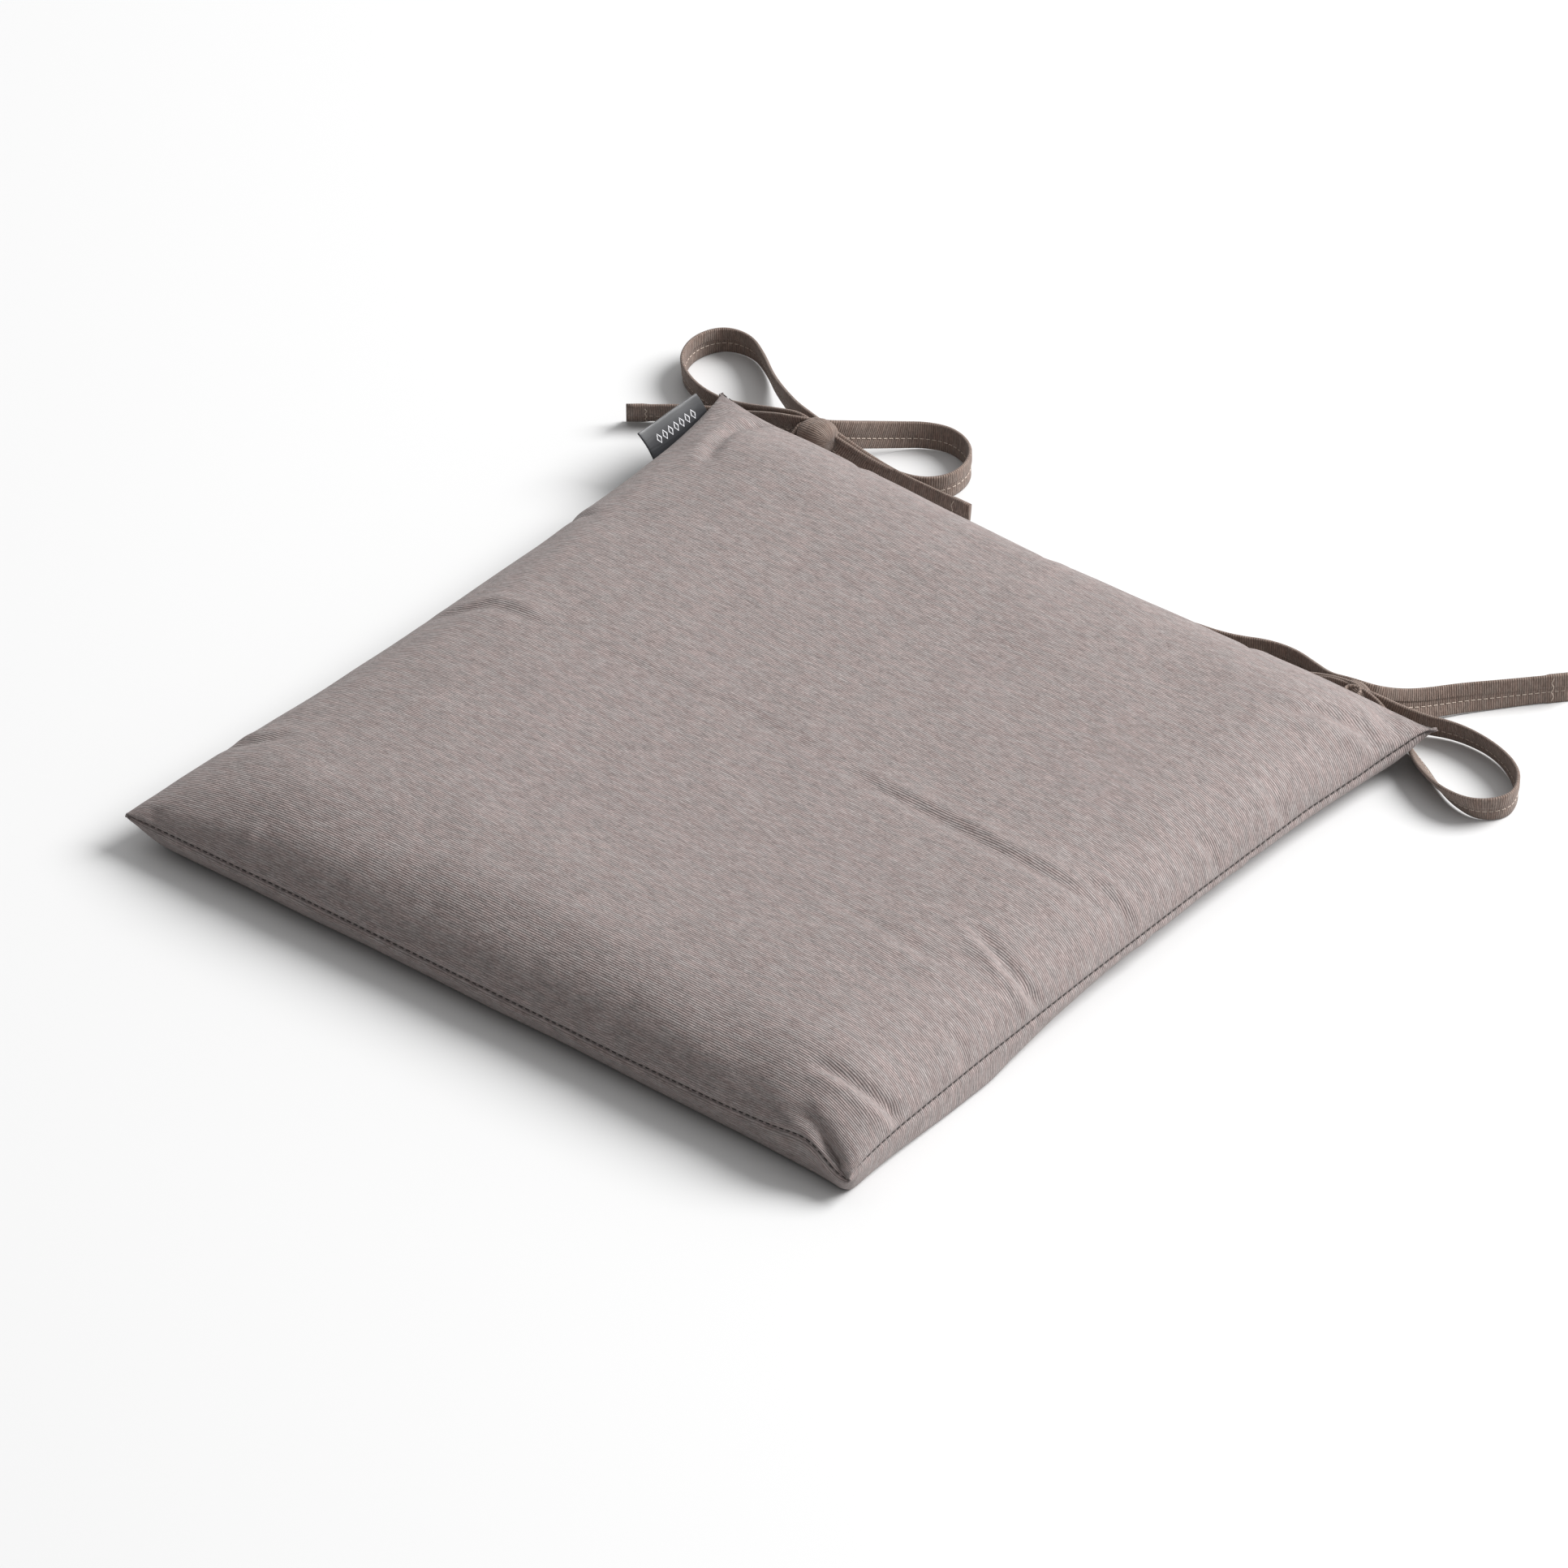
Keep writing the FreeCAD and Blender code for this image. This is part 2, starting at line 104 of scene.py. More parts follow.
def unit(vectors: np.ndarray) -> np.ndarray:
    """The vectors, each scaled to length one."""
    return vectors / np.maximum(np.linalg.norm(vectors, axis=-1, keepdims=True), 1e-12)


def smooth_step(low: float, high: float, values: np.ndarray) -> np.ndarray:
    """A smooth rise from 0 at low to 1 at high."""
    share = np.clip((values - low) / (high - low), 0, 1)
    return share * share * (3 - 2 * share)


def running_length(line: np.ndarray) -> np.ndarray:
    """The distance reached at each point of a line."""
    steps = np.linalg.norm(np.diff(line, axis=0), axis=1)
    return np.concatenate([[0.0], np.cumsum(steps)])


def softened(values: np.ndarray, span: int) -> np.ndarray:
    """The values, each averaged with those beside it over an odd span."""
    window = np.hanning(span)
    padded = np.pad(values, span // 2, mode="edge")
    return np.convolve(padded, window / window.sum(), mode="valid")


def inside_rim(count: int) -> np.ndarray:
    """A square grid's mask, true everywhere but on its rim."""
    mask = np.zeros((count, count), dtype=bool)
    mask[1:-1, 1:-1] = True
    return mask


def grid_faces(numbers: np.ndarray, turned: bool) -> list[list[int]]:
    """The faces of a grid of vertex numbers, facing down if turned."""
    quads = np.stack([numbers[:-1, :-1], numbers[1:, :-1], numbers[1:, 1:], numbers[:-1, 1:]],
                     axis=-1).reshape(-1, 4)
    return (quads[:, ::-1] if turned else quads).tolist()


def thicken(piece: bpy.types.Object, thickness: float) -> None:
    """Gives a sheet its thickness, on the side away from its normals."""
    solid = piece.modifiers.new("Solidify", "SOLIDIFY")
    solid.thickness = thickness
    solid.offset = -1
    make_active(piece)
    bpy.ops.object.modifier_apply(modifier=solid.name)


def hand_over(piece: bpy.types.Object, node: str) -> None:
    """Puts a piece on the body, in its node's place."""
    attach(piece, BODY)
    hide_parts(node)
    log.info("%s, %d faces", piece.name, len(piece.data.polygons))


@cache
def material(finish: Any) -> bpy.types.Material:
    """A finish's material, made once, when the first piece asks for it."""
    return finish.build()


# ---------------------------------------------------------------- finishes
class Shader:
    """A material's node tree, with one call to add a node, set it up and feed it."""

    def __init__(self, name: str) -> None:
        """Starts a material that has only its surface node."""
        self.material = bpy.data.materials.new(name)
        self.material.use_nodes = True
        self.tree = self.material.node_tree
        self.surface = self.tree.nodes["Principled BSDF"]

    def feed(self, socket: bpy.types.NodeSocket, value: Any) -> None:
        """Links a socket to another node's output, or sets it to a constant."""
        if isinstance(value, bpy.types.NodeSocket):
            self.tree.links.new(value, socket)
        else:
            socket.default_value = value

    def add(self, kind: str, inputs: dict[Any, Any], **settings: Any) -> bpy.types.Node:
        """Adds a node.

        Args:
            kind: the node's type without its ShaderNode prefix.
            inputs: what each input, by name or number, is linked or set to.
            settings: properties of the node.

        Returns:
            The new node.
        """
        node = self.tree.nodes.new("ShaderNode" + kind)
        for name, value in settings.items():
            setattr(node, name, value)
        for key, value in inputs.items():
            self.feed(node.inputs[key], value)
        return node

    def maths(self, operation: str, *values: Any) -> bpy.types.NodeSocket:
        """The result of a Math node."""
        node = self.add("Math", dict(enumerate(values)), operation=operation)
        return node.outputs[0]

    def stretch(self, place: bpy.types.NodeSocket, scale: Triple) -> bpy.types.NodeSocket:
        """A place multiplied axis by axis."""
        node = self.add("VectorMath", {0: place, 1: scale}, operation="MULTIPLY")
        return node.outputs[0]

    def noise(self, place: bpy.types.NodeSocket, scale: float, detail: float) -> Any:
        """Noise from 0 to 1 at a place."""
        node = self.add("TexNoise", {"Vector": place, "Scale": scale, "Detail": detail})
        return node.outputs["Fac"]

    def spread(self, value: Any, low: float, high: float, out: Pair) -> Any:
        """A value from low to high, mapped to the two numbers of out and clamped."""
        inputs = {0: value, 1: low, 2: high, 3: out[0], 4: out[1]}
        return self.add("MapRange", inputs, clamp=True).outputs[0]

    def blend(self, share: Any, first: Any, second: Any) -> bpy.types.NodeSocket:
        """A colour between two colours."""
        node = self.add("Mix", {0: share, 6: first, 7: second}, data_type="RGBA")
        return node.outputs[2]

    def tint(self, colour: Any, by: Any) -> bpy.types.NodeSocket:
        """A colour multiplied by another colour, or by a grey value."""
        node = self.add("Mix", {0: 1.0, 6: colour, 7: by}, data_type="RGBA", blend_type="MULTIPLY")
        return node.outputs[2]

    def bump(self, height: Any, distance: float, strength: float = 1.0) -> bpy.types.NodeSocket:
        """A normal for a surface that is raised by a height times a distance."""
        inputs = {"Strength": strength, "Distance": distance, "Height": height}
        return self.add("Bump", inputs).outputs[0]

    def object_place(self) -> bpy.types.NodeSocket:
        """Places in the object's own coordinates."""
        return self.add("TexCoord", {}).outputs["Object"]

    def coat(self, inputs: dict[str, Any]) -> bpy.types.Material:
        """Feeds the surface's inputs, by name, and returns the finished material."""
        for name, value in inputs.items():
            self.feed(self.surface.inputs[name], value)
        return self.material


@dataclass(frozen=True)
class RibbedWeave:
    """Heathered canvas: fine ribs along the weft, each spun unevenly from light and dark yarn, with
    painted shade in the grooves between the ribs.

    A grain is how often its noise repeats in a metre, along and across the ribs.
    """

    name: str
    light: Triple
    dark: Triple
    blush: Triple
    rib_pitch: float = 1.2 * MM
    rib_height: float = 0.22 * MM
    slub_length: float = 7.0 * MM
    yarn_change: float = 7.31
    fleck_grain: Triple = (450.0, 1700.0, 1.0)
    cloud_grain: Triple = (30.0, 75.0, 1.0)
    hue_grain: Triple = (90.0, 330.0, 1.0)
    heather: float = 0.17
    # painted shade: how far the colour is darkened in the rib grooves and lifted on the crests
    groove_painted_shade: Pair = (0.56, 1.06)
    cloud_shade: Pair = (0.965, 1.035)
    roughness: Pair = (0.86, 0.74)
    fleck_relief: float = 0.9
    slub_relief: float = 0.5

    def build(self) -> bpy.types.Material:
        """Makes the material."""
        shader = Shader(self.name)
        place = shader.add("UVMap", {}, uv_map="pattern").outputs[0]
        split = shader.add("SeparateXYZ", {0: place})
        ribs = shader.maths("DIVIDE", split.outputs[1], self.rib_pitch)
        rib_number = shader.maths("FLOOR", ribs)
        rib_place = shader.maths("SUBTRACT", ribs, rib_number)
        arch = shader.maths("SINE", shader.maths("MULTIPLY", rib_place, math.pi))
        yarn = shader.add("CombineXYZ", {
            0: shader.maths("DIVIDE", split.outputs[0], self.slub_length),
            1: shader.maths("MULTIPLY", rib_number, self.yarn_change),
        }).outputs[0]
        slub = shader.noise(yarn, 1.0, 3.0)
        fleck = shader.noise(shader.stretch(place, self.fleck_grain), 1.0, 2.0)
        cloud = shader.noise(shader.stretch(place, self.cloud_grain), 1.0, 3.0)
        hue = shader.noise(shader.stretch(place, self.hue_grain), 1.0, 2.0)

        mixed = shader.maths("MULTIPLY", shader.maths("ADD", slub, fleck), 0.5)
        tone = shader.spread(mixed, 0.5 - self.heather, 0.5 + self.heather, (0.0, 1.0))
        base = shader.blend(tone, (*self.dark, 1), (*self.light, 1))
        pinkness = shader.spread(hue, 0.38, 0.62, (0.0, 1.0))
        base = shader.tint(base, shader.blend(pinkness, (1, 1, 1, 1), (*self.blush, 1)))
        # painted shade: the colour is darkened in the grooves between the ribs, where the arch is
        # low
        base = shader.tint(base, shader.spread(arch, 0.0, 0.8, self.groove_painted_shade))
        base = shader.tint(base, shader.spread(cloud, 0.3, 0.7, self.cloud_shade))

        relief = shader.maths("ADD", arch, shader.maths("MULTIPLY", fleck, self.fleck_relief))
        relief = shader.maths("ADD", relief, shader.maths("MULTIPLY", slub, self.slub_relief))
        return shader.coat({
            "Base Color": base, "Normal": shader.bump(relief, self.rib_height),
            "Roughness": shader.spread(slub, 0.3, 0.7, self.roughness),
            "Specular IOR Level": 0.28, "Sheen Weight": 0.18, "Sheen Roughness": 0.45,
            "Sheen Tint": (0.95, 0.92, 0.90, 1)})


@dataclass(frozen=True)
class SpunThread:
    """Sewing thread, twisted from two plies."""

    name: str
    colour: Triple
    twist: float = 0.7 * MM
    turns_in_wave: float = 0.3
    ply_shade: Pair = (0.72, 1.12)
    ply_height: float = 0.05 * MM

    def build(self) -> bpy.types.Material:
        """Makes the material."""
        shader = Shader(self.name)
        inputs = {"Vector": shader.object_place(), "Scale": self.turns_in_wave / self.twist,
                  "Distortion": 2.0, "Detail": 1.0}
        ply = shader.add("TexWave", inputs, bands_direction="DIAGONAL").outputs["Fac"]
        shade = shader.spread(ply, 0.0, 1.0, self.ply_shade)
        return shader.coat({"Base Color": shader.tint((*self.colour, 1), shade),
                            "Normal": shader.bump(ply, self.ply_height, 0.6),
                            "Roughness": 0.62})


@dataclass(frozen=True)
class SatinRibbon:
    """Black woven satin of a label, with fine warp floats along its length."""

    name: str
    colour: Triple
    float_grain: Triple = (900.0, 160.0, 2600.0)
    float_shade: Pair = (0.7, 1.35)
    float_height: float = 0.06 * MM
    roughness: Pair = (0.34, 0.5)

    def build(self) -> bpy.types.Material:
        """Makes the material."""
        shader = Shader(self.name)
        place = shader.object_place()
        floats = shader.noise(shader.stretch(place, self.float_grain), 1.0, 2.0)
        shade = shader.spread(floats, 0.35, 0.65, self.float_shade)
        return shader.coat({"Base Color": shader.tint((*self.colour, 1), shade),
                            "Normal": shader.bump(floats, self.float_height, 0.5),
                            "Roughness": shader.spread(floats, 0.3, 0.7, self.roughness),
                            "Sheen Weight": 0.25, "Specular IOR Level": 0.55})


@dataclass(frozen=True)
class OpenFoam:
    """Filling: open-celled foam, or fluffy fibre wadding when the cells are drawn out."""

    name: str
    light: Triple
    dark: Triple
    cell: Triple
    cloud_grain: Triple = (40.0, 40.0, 40.0)
    cloud_shade: Pair = (0.92, 1.06)
    pore_depth: float = 0.5 * MM

    def build(self) -> bpy.types.Material:
        """Makes the material."""
        shader = Shader(self.name)
        place = shader.object_place()
        cells = {"Vector": shader.stretch(place, self.cell), "Scale": 1.0}
        pores = shader.add("TexVoronoi", cells).outputs["Distance"]
        cloud = shader.noise(shader.stretch(place, self.cloud_grain), 1.0, 4.0)
        base = shader.blend(pores, (*self.dark, 1), (*self.light, 1))
        base = shader.tint(base, shader.spread(cloud, 0.3, 0.7, self.cloud_shade))
        return shader.coat({"Base Color": base, "Roughness": 0.95,
                            "Normal": shader.bump(pores, self.pore_depth, 0.8)})


@dataclass(frozen=True)
class MattPaper:
    """The plain pale floor."""

    name: str
    tone: float

    def build(self) -> bpy.types.Material:
        """Makes the material."""
        return Shader(self.name).coat({"Base Color": (self.tone, self.tone, self.tone, 1),
                                       "Roughness": 0.9, "Specular IOR Level": 0.1})


COVER_CLOTH = RibbedWeave("cover_canvas", light=(0.36, 0.318, 0.308), dark=(0.17, 0.145, 0.140),
                          blush=(1.04, 0.965, 0.955))
# The ties are cut from the cover's cloth. This copy is darker and browner: partly the ties' own
# browner tone, partly painted shade for the shaded faces of the ties.
SHADED_TIE_CLOTH = RibbedWeave("tie_canvas_painted_shade", light=(0.265, 0.208, 0.178), dark=(0.128, 0.094, 0.077),
                        blush=(1.04, 0.97, 0.95))
# painted shadow: the closing thread is near black, standing for the shadows in the seam's groove as
# well as for the thread
SEAM_THREAD_AND_SHADOW = SpunThread("closing_thread_painted_shadow", (0.055, 0.045, 0.042))
TIE_THREAD = SpunThread("tie_thread", (0.56, 0.47, 0.40))
LABEL_SATIN = SatinRibbon("label_satin", (0.012, 0.013, 0.016))
MOTIF_THREAD = SpunThread("motif_thread", (0.62, 0.62, 0.64))
FOAM = OpenFoam("foam", (0.74, 0.66, 0.44), (0.52, 0.43, 0.24), (900.0, 900.0, 900.0))
WADDING = OpenFoam("wadding", (0.86, 0.86, 0.84), (0.66, 0.66, 0.64), (260.0, 1300.0, 800.0))


# ---------------------------------------------------------------- viewpoint and light
@dataclass
class Viewpoint:
    """The camera, far off and level with the horizon."""

    azimuth: float = 39.40
    elevation: float = 35.63
    distance: float = 7.0
    aside: float = 0.0006
    above: float = 0.0116
    lens: float = 325.2

    def build(self) -> bpy.types.Object:
        """Makes the camera and sets it as the scene's own."""
        turn, rise = math.radians(self.azimuth), math.radians(self.elevation)
        back = Vector((math.sin(turn) * math.cos(rise), -math.cos(turn) * math.cos(rise),
                       math.sin(rise)))
        right = Vector((math.cos(turn), math.sin(turn), 0))
        up = back.cross(right)
        camera = bpy.data.cameras.new("camera")
        camera.lens = self.lens
        camera.clip_start, camera.clip_end = 0.1, 50
        holder = bpy.data.objects.new("camera", camera)
        holder.location = back * self.distance + right * self.aside + up * self.above
        holder.rotation_mode = "QUATERNION"
        holder.rotation_quaternion = (-back).to_track_quat("-Z", "Y")
        bpy.context.scene.collection.objects.link(holder)
        bpy.context.scene.camera = holder
        return holder


@dataclass
class Studio:
    """A pale floor, one soft lamp high on the right and pale walls that are dim in front."""

    key_from: Triple = (2.85, 3.65, 4.15)
    key_size: float = 4.0
    key_power: float = 610.0
    sky_bright: float = 0.75
    sky_dim: float = 0.11
    bright_side: Triple = (0.35, 0.85, 0.4)
    floor_tone: float = 0.68
    floor_side: float = 40.0

    def build(self) -> None:
        """Makes the lamp, the sky and the floor."""
        self.make_key()
        self.make_sky()
        self.make_floor()
        bpy.context.scene.view_settings.view_transform = "Standard"

    def make_key(self) -> None:
        """The lamp, aimed at the middle of the pad."""
        light = bpy.data.lights.new("key", "AREA")
        light.shape = "DISK"
        light.size = self.key_size
        light.energy = self.key_power
        holder = bpy.data.objects.new("key", light)
        holder.location = Vector(self.key_from)
        holder.rotation_mode = "QUATERNION"
        holder.rotation_quaternion = (-holder.location).to_track_quat("-Z", "Y")
        bpy.context.scene.collection.objects.link(holder)

    def make_sky(self) -> None:
        """A white surround, brightest towards one side."""
        world = bpy.data.worlds.new("sky")
        bpy.context.scene.world = world
        world.use_nodes = True
        nodes, links = world.node_tree.nodes, world.node_tree.links
        place = nodes.new("ShaderNodeTexCoord")
        towards = nodes.new("ShaderNodeVectorMath")
        towards.operation = "DOT_PRODUCT"
        towards.inputs[1].default_value = Vector(self.bright_side).normalized()
        links.new(place.outputs["Generated"], towards.inputs[0])
        fade = nodes.new("ShaderNodeMapRange")
        fade.interpolation_type = "SMOOTHSTEP"
        for number, value in enumerate((-0.7, 0.7, self.sky_dim, self.sky_bright), start=1):
            fade.inputs[number].default_value = value
        links.new(towards.outputs["Value"], fade.inputs[0])
        links.new(fade.outputs[0], nodes["Background"].inputs["Strength"])
        nodes["Background"].inputs["Color"].default_value = (1, 1, 1, 1)

    def make_floor(self) -> None:
        """The floor, which isn't part of the object."""
        deselect_all()
        bpy.ops.mesh.primitive_plane_add(size=self.floor_side, location=(0, 0, 0))
        floor = bpy.context.active_object
        floor.name = "floor"
        floor.data.materials.append(MattPaper("floor_paper", self.floor_tone).build())
        log.info("floor, %.0f m square", self.floor_side)


# ---------------------------------------------------------------- cover
class Side(Enum):
    """The pad's four sides."""

    FRONT = "front"
    RIGHT = "right"
    REAR = "rear"
    LEFT = "left"


class Panel(Enum):
    """The two panels, and which way each one's crown stands from the seam."""

    UPPER = 1
    LOWER = -1


Along = Sequence[Pair]
CREASE_UNIT = 2.5
RIDGE_AWAY = 1.9
RIDGE_SPREAD = 1.3
LEAST_FADE = 1e-3


@dataclass(frozen=True)
class SideShape:
    """How one side of the stuffed cover is drawn in and rounded.

    Each list holds pairs of a share along the side, from -1 to 1 towards +X or +Y, and
    millimetres: how far the seam is drawn in and lifted, and the run over which the upper and
    the lower panel curve down to it.
    """

    pull: Along
    lift: Along
    shoulder: Along
    heel: Along


@dataclass(frozen=True)
class Crease:
    """A crease in the cover: a valley with a ridge on the left of its line, and soft ends.

    line holds hundredths of the half panel, each CREASE_UNIT millimetres long, and the other
    sizes are millimetres. A negative depth makes a ridge.
    """

    line: Along
    depth: float
    width: float
    ridge: float = 0.0
    fade_in: float = 0.3
    fade_out: float = 0.3

    def relief(self, places: np.ndarray) -> np.ndarray:
        """How far the crease moves the cloth outwards.

        Args:
            places: pattern coordinates in millimetres, with two numbers each.

        Returns:
            Millimetres, one number for each place.
        """
        nearest = np.full(places.shape[:-1], 1e9)
        signed = np.zeros_like(nearest)
        share = np.zeros_like(nearest)
        line = np.array(self.line) * CREASE_UNIT
        steps = np.linalg.norm(np.diff(line, axis=0), axis=1)
        reached = np.concatenate([[0.0], np.cumsum(steps)])
        for start, end, before, step in zip(line, line[1:], reached, steps):
            run = (end - start) / step
            offset = places - start
            along = np.clip(offset @ run, 0, step)
            apart = offset - along[..., None] * run
            gap = np.linalg.norm(apart, axis=-1)
            closer = gap < nearest
            side = np.sign(run[0] * offset[..., 1] - run[1] * offset[..., 0])
            nearest = np.where(closer, gap, nearest)
            signed = np.where(closer, gap * side, signed)
            share = np.where(closer, (before + along) / reached[-1], share)
        ends = (smooth_step(0, max(self.fade_in, LEAST_FADE), share)
                * smooth_step(0, max(self.fade_out, LEAST_FADE), 1 - share))
        valley = -self.depth * np.exp(-(signed / self.width) ** 2)
        beyond = (signed - RIDGE_AWAY * self.width) / (RIDGE_SPREAD * self.width)
        ridge = self.ridge * np.exp(-beyond ** 2)
        return (valley + ridge) * ends


def bowed(depth: float) -> Along:
    """A pull that is deepest at a side's middle and none at its ends."""
    shares = [step / 8 for step in range(-8, 9)]
    return [(share, depth * (1 - share ** 2)) for share in shares]


SIDE_SHAPES = {
    Side.FRONT: SideShape(
        pull=[(-1, 0), (-0.5, 1.5), (0.3, 2), (0.7, 0.8), (0.85, 0.5), (1, 0)],
        lift=[(-1, 0), (0.35, 0), (0.62, 2), (0.74, 4.2), (0.81, 7), (0.845, 6.4), (0.88, 0.5),
              (0.91, -3.2), (0.96, -3.5), (1, -2)],
        shoulder=[(-1, 61), (-0.5, 58), (0.2, 51), (1, 51)], heel=[(-1, 18), (0, 16), (1, 14)]),
    Side.RIGHT: SideShape(
        pull=[(-1, 0), (-0.87, 1.5), (-0.75, 4), (-0.5, 7), (-0.16, 9.6), (0.2, 11.3), (0.58, 12),
              (0.8, 9), (0.92, 5), (1, 0)],
        lift=[(-1, -2), (-0.9, 0), (0.75, 0), (0.92, 2.5), (1, 3)],
        shoulder=[(-1, 61), (1, 61)], heel=[(-1, 5), (-0.45, 10), (0.1, 55), (1, 58)]),
    Side.REAR: SideShape(
        pull=bowed(15),
        lift=[(-1, 5), (-0.9, 5), (-0.62, 1), (-0.5, 0), (0.7, 0), (0.9, 3), (1, 3)],
        shoulder=[(-1, 61), (1, 61)], heel=[(-1, 26), (1, 26)]),
    Side.LEFT: SideShape(
        pull=bowed(14),
        lift=[(-1, 0), (0.7, 0), (0.9, 4), (1, 5)],
        shoulder=[(-1, 120), (-0.6, 112), (0, 95), (0.6, 110), (1, 118)],
        heel=[(-1, 26), (1, 26)]),
}

UPPER_CREASES = (
    Crease([(-96, -8), (-88, -7), (-79, -2.5), (-70, -2.5), (-60, -3.5)], 1.3, 4.0, 0.9),
    Crease([(-66, -3), (-54, -3), (-34, -2.5), (-13, -1), (9, -2.5), (32, -4.4)], 0.45, 4.5, 0.25),
    Crease([(14, -3), (32, -4.4), (47, -4.4), (64, -6), (81, -4.4), (90, -2), (98, 0.6)],
           1.5, 4.2, 1.0),
    Crease([(89, -37.5), (77, -41), (69, -42), (53, -40.6), (36, -39)], 0.7, 4.0, 0.4),
    Crease([(99, -75.5), (93, -78), (86.2, -80), (80.6, -81.2), (75, -83)], 3.2, 3.6, 1.7,
           0.12, 0.3),
    Crease([(98.8, -28), (93, -30.6), (87.5, -31.2), (79.4, -29.4), (72, -27)], 2.5, 3.4, 1.4,
           0.15, 0.35),
    Crease([(78, -1), (83.8, 0.6), (88.8, 1.2), (93.8, 2.5), (98.8, 1.9)], 1.5, 3.2, 0.6),
    Crease([(77, -93), (83, -93.5), (88, -95), (93, -98)], 4.2, 7.0, 0.0, 0.35, 0.15),
    Crease([(86, -96), (91, -97.5), (96, -99.3)], 2.2, 3.0, 0.0, 0.3, 0.1),
    Crease([(60, -92), (68, -93), (77, -93.5)], 1.4, 7.0, 0.0, 0.4, 0.4),
    Crease([(98, 82.5), (90, 82), (82.5, 78), (76, 70)], 2.4, 4.5, 0.9, 0.2, 0.3),
    Crease([(84, 92), (90, 89), (97, 87)], 2.4, 6.5, 0.0),
    Crease([(-76, 64), (-82, 75), (-84, 84), (-80, 93)], 2.8, 4.2, 0.9, 0.35, 0.15),
    Crease([(-68, -88), (-67, -95), (-66, -99)], -1.5, 4.0),
    Crease([(-91, -92), (-90, -97.5), (-89, -99)], 1.6, 4.0),
    Crease([(-97, -68), (-88, -66), (-80, -61)], 1.7, 4.5, 0.8),
    Crease([(-45, -99), (-44, -92), (-40, -84)], 0.9, 4.5, 0.5, 0.1),
    Crease([(-22, -99), (-20, -91), (-21, -84)], 0.7, 4.0, 0.4, 0.1),
    Crease([(6, -99), (9, -92), (8, -86)], 0.7, 4.0, 0.4, 0.1),
    Crease([(33, -99), (32, -92), (35, -86)], 0.8, 4.0, 0.4, 0.1),
    Crease([(99, 30), (93, 31), (87, 28)], 1.0, 3.6, 0.5, 0.1),
    Crease([(99, 54), (93, 52), (86, 53)], 0.9, 4.0, 0.4, 0.1),
    Crease([(99, -54), (93, -53), (88, -55)], 1.0, 3.4, 0.4, 0.1),
    Crease([(-55, 99), (-54, 93), (-52, 86)], 1.0, 4.0, 0.4, 0.1),
    Crease([(2, 99), (0, 92), (1, 85)], 1.0, 4.0, 0.4, 0.1),
    Crease([(52, 99), (54, 92), (52, 85)], 1.0, 4.0, 0.4, 0.1),
    Crease([(-99, 40), (-92, 41), (-85, 39)], 1.0, 4.0, 0.5, 0.1),
)
LOWER_CREASES = (
    Crease([(99, 10), (91, 9), (83, 12)], 1.0, 4.0, 0.5, 0.1),
    Crease([(99, 42), (92, 43), (84, 40)], 1.1, 4.0, 0.5, 0.1),
    Crease([(0, 99), (2, 91), (-1, 84)], 1.0, 4.0, 0.5, 0.1),
    Crease([(-99, -20), (-91, -22), (-84, -20)], 1.0, 4.0, 0.5, 0.1),
    Crease([(-40, 99), (-41, 91), (-38, 84)], 0.9, 4.0, 0.5, 0.1),
)


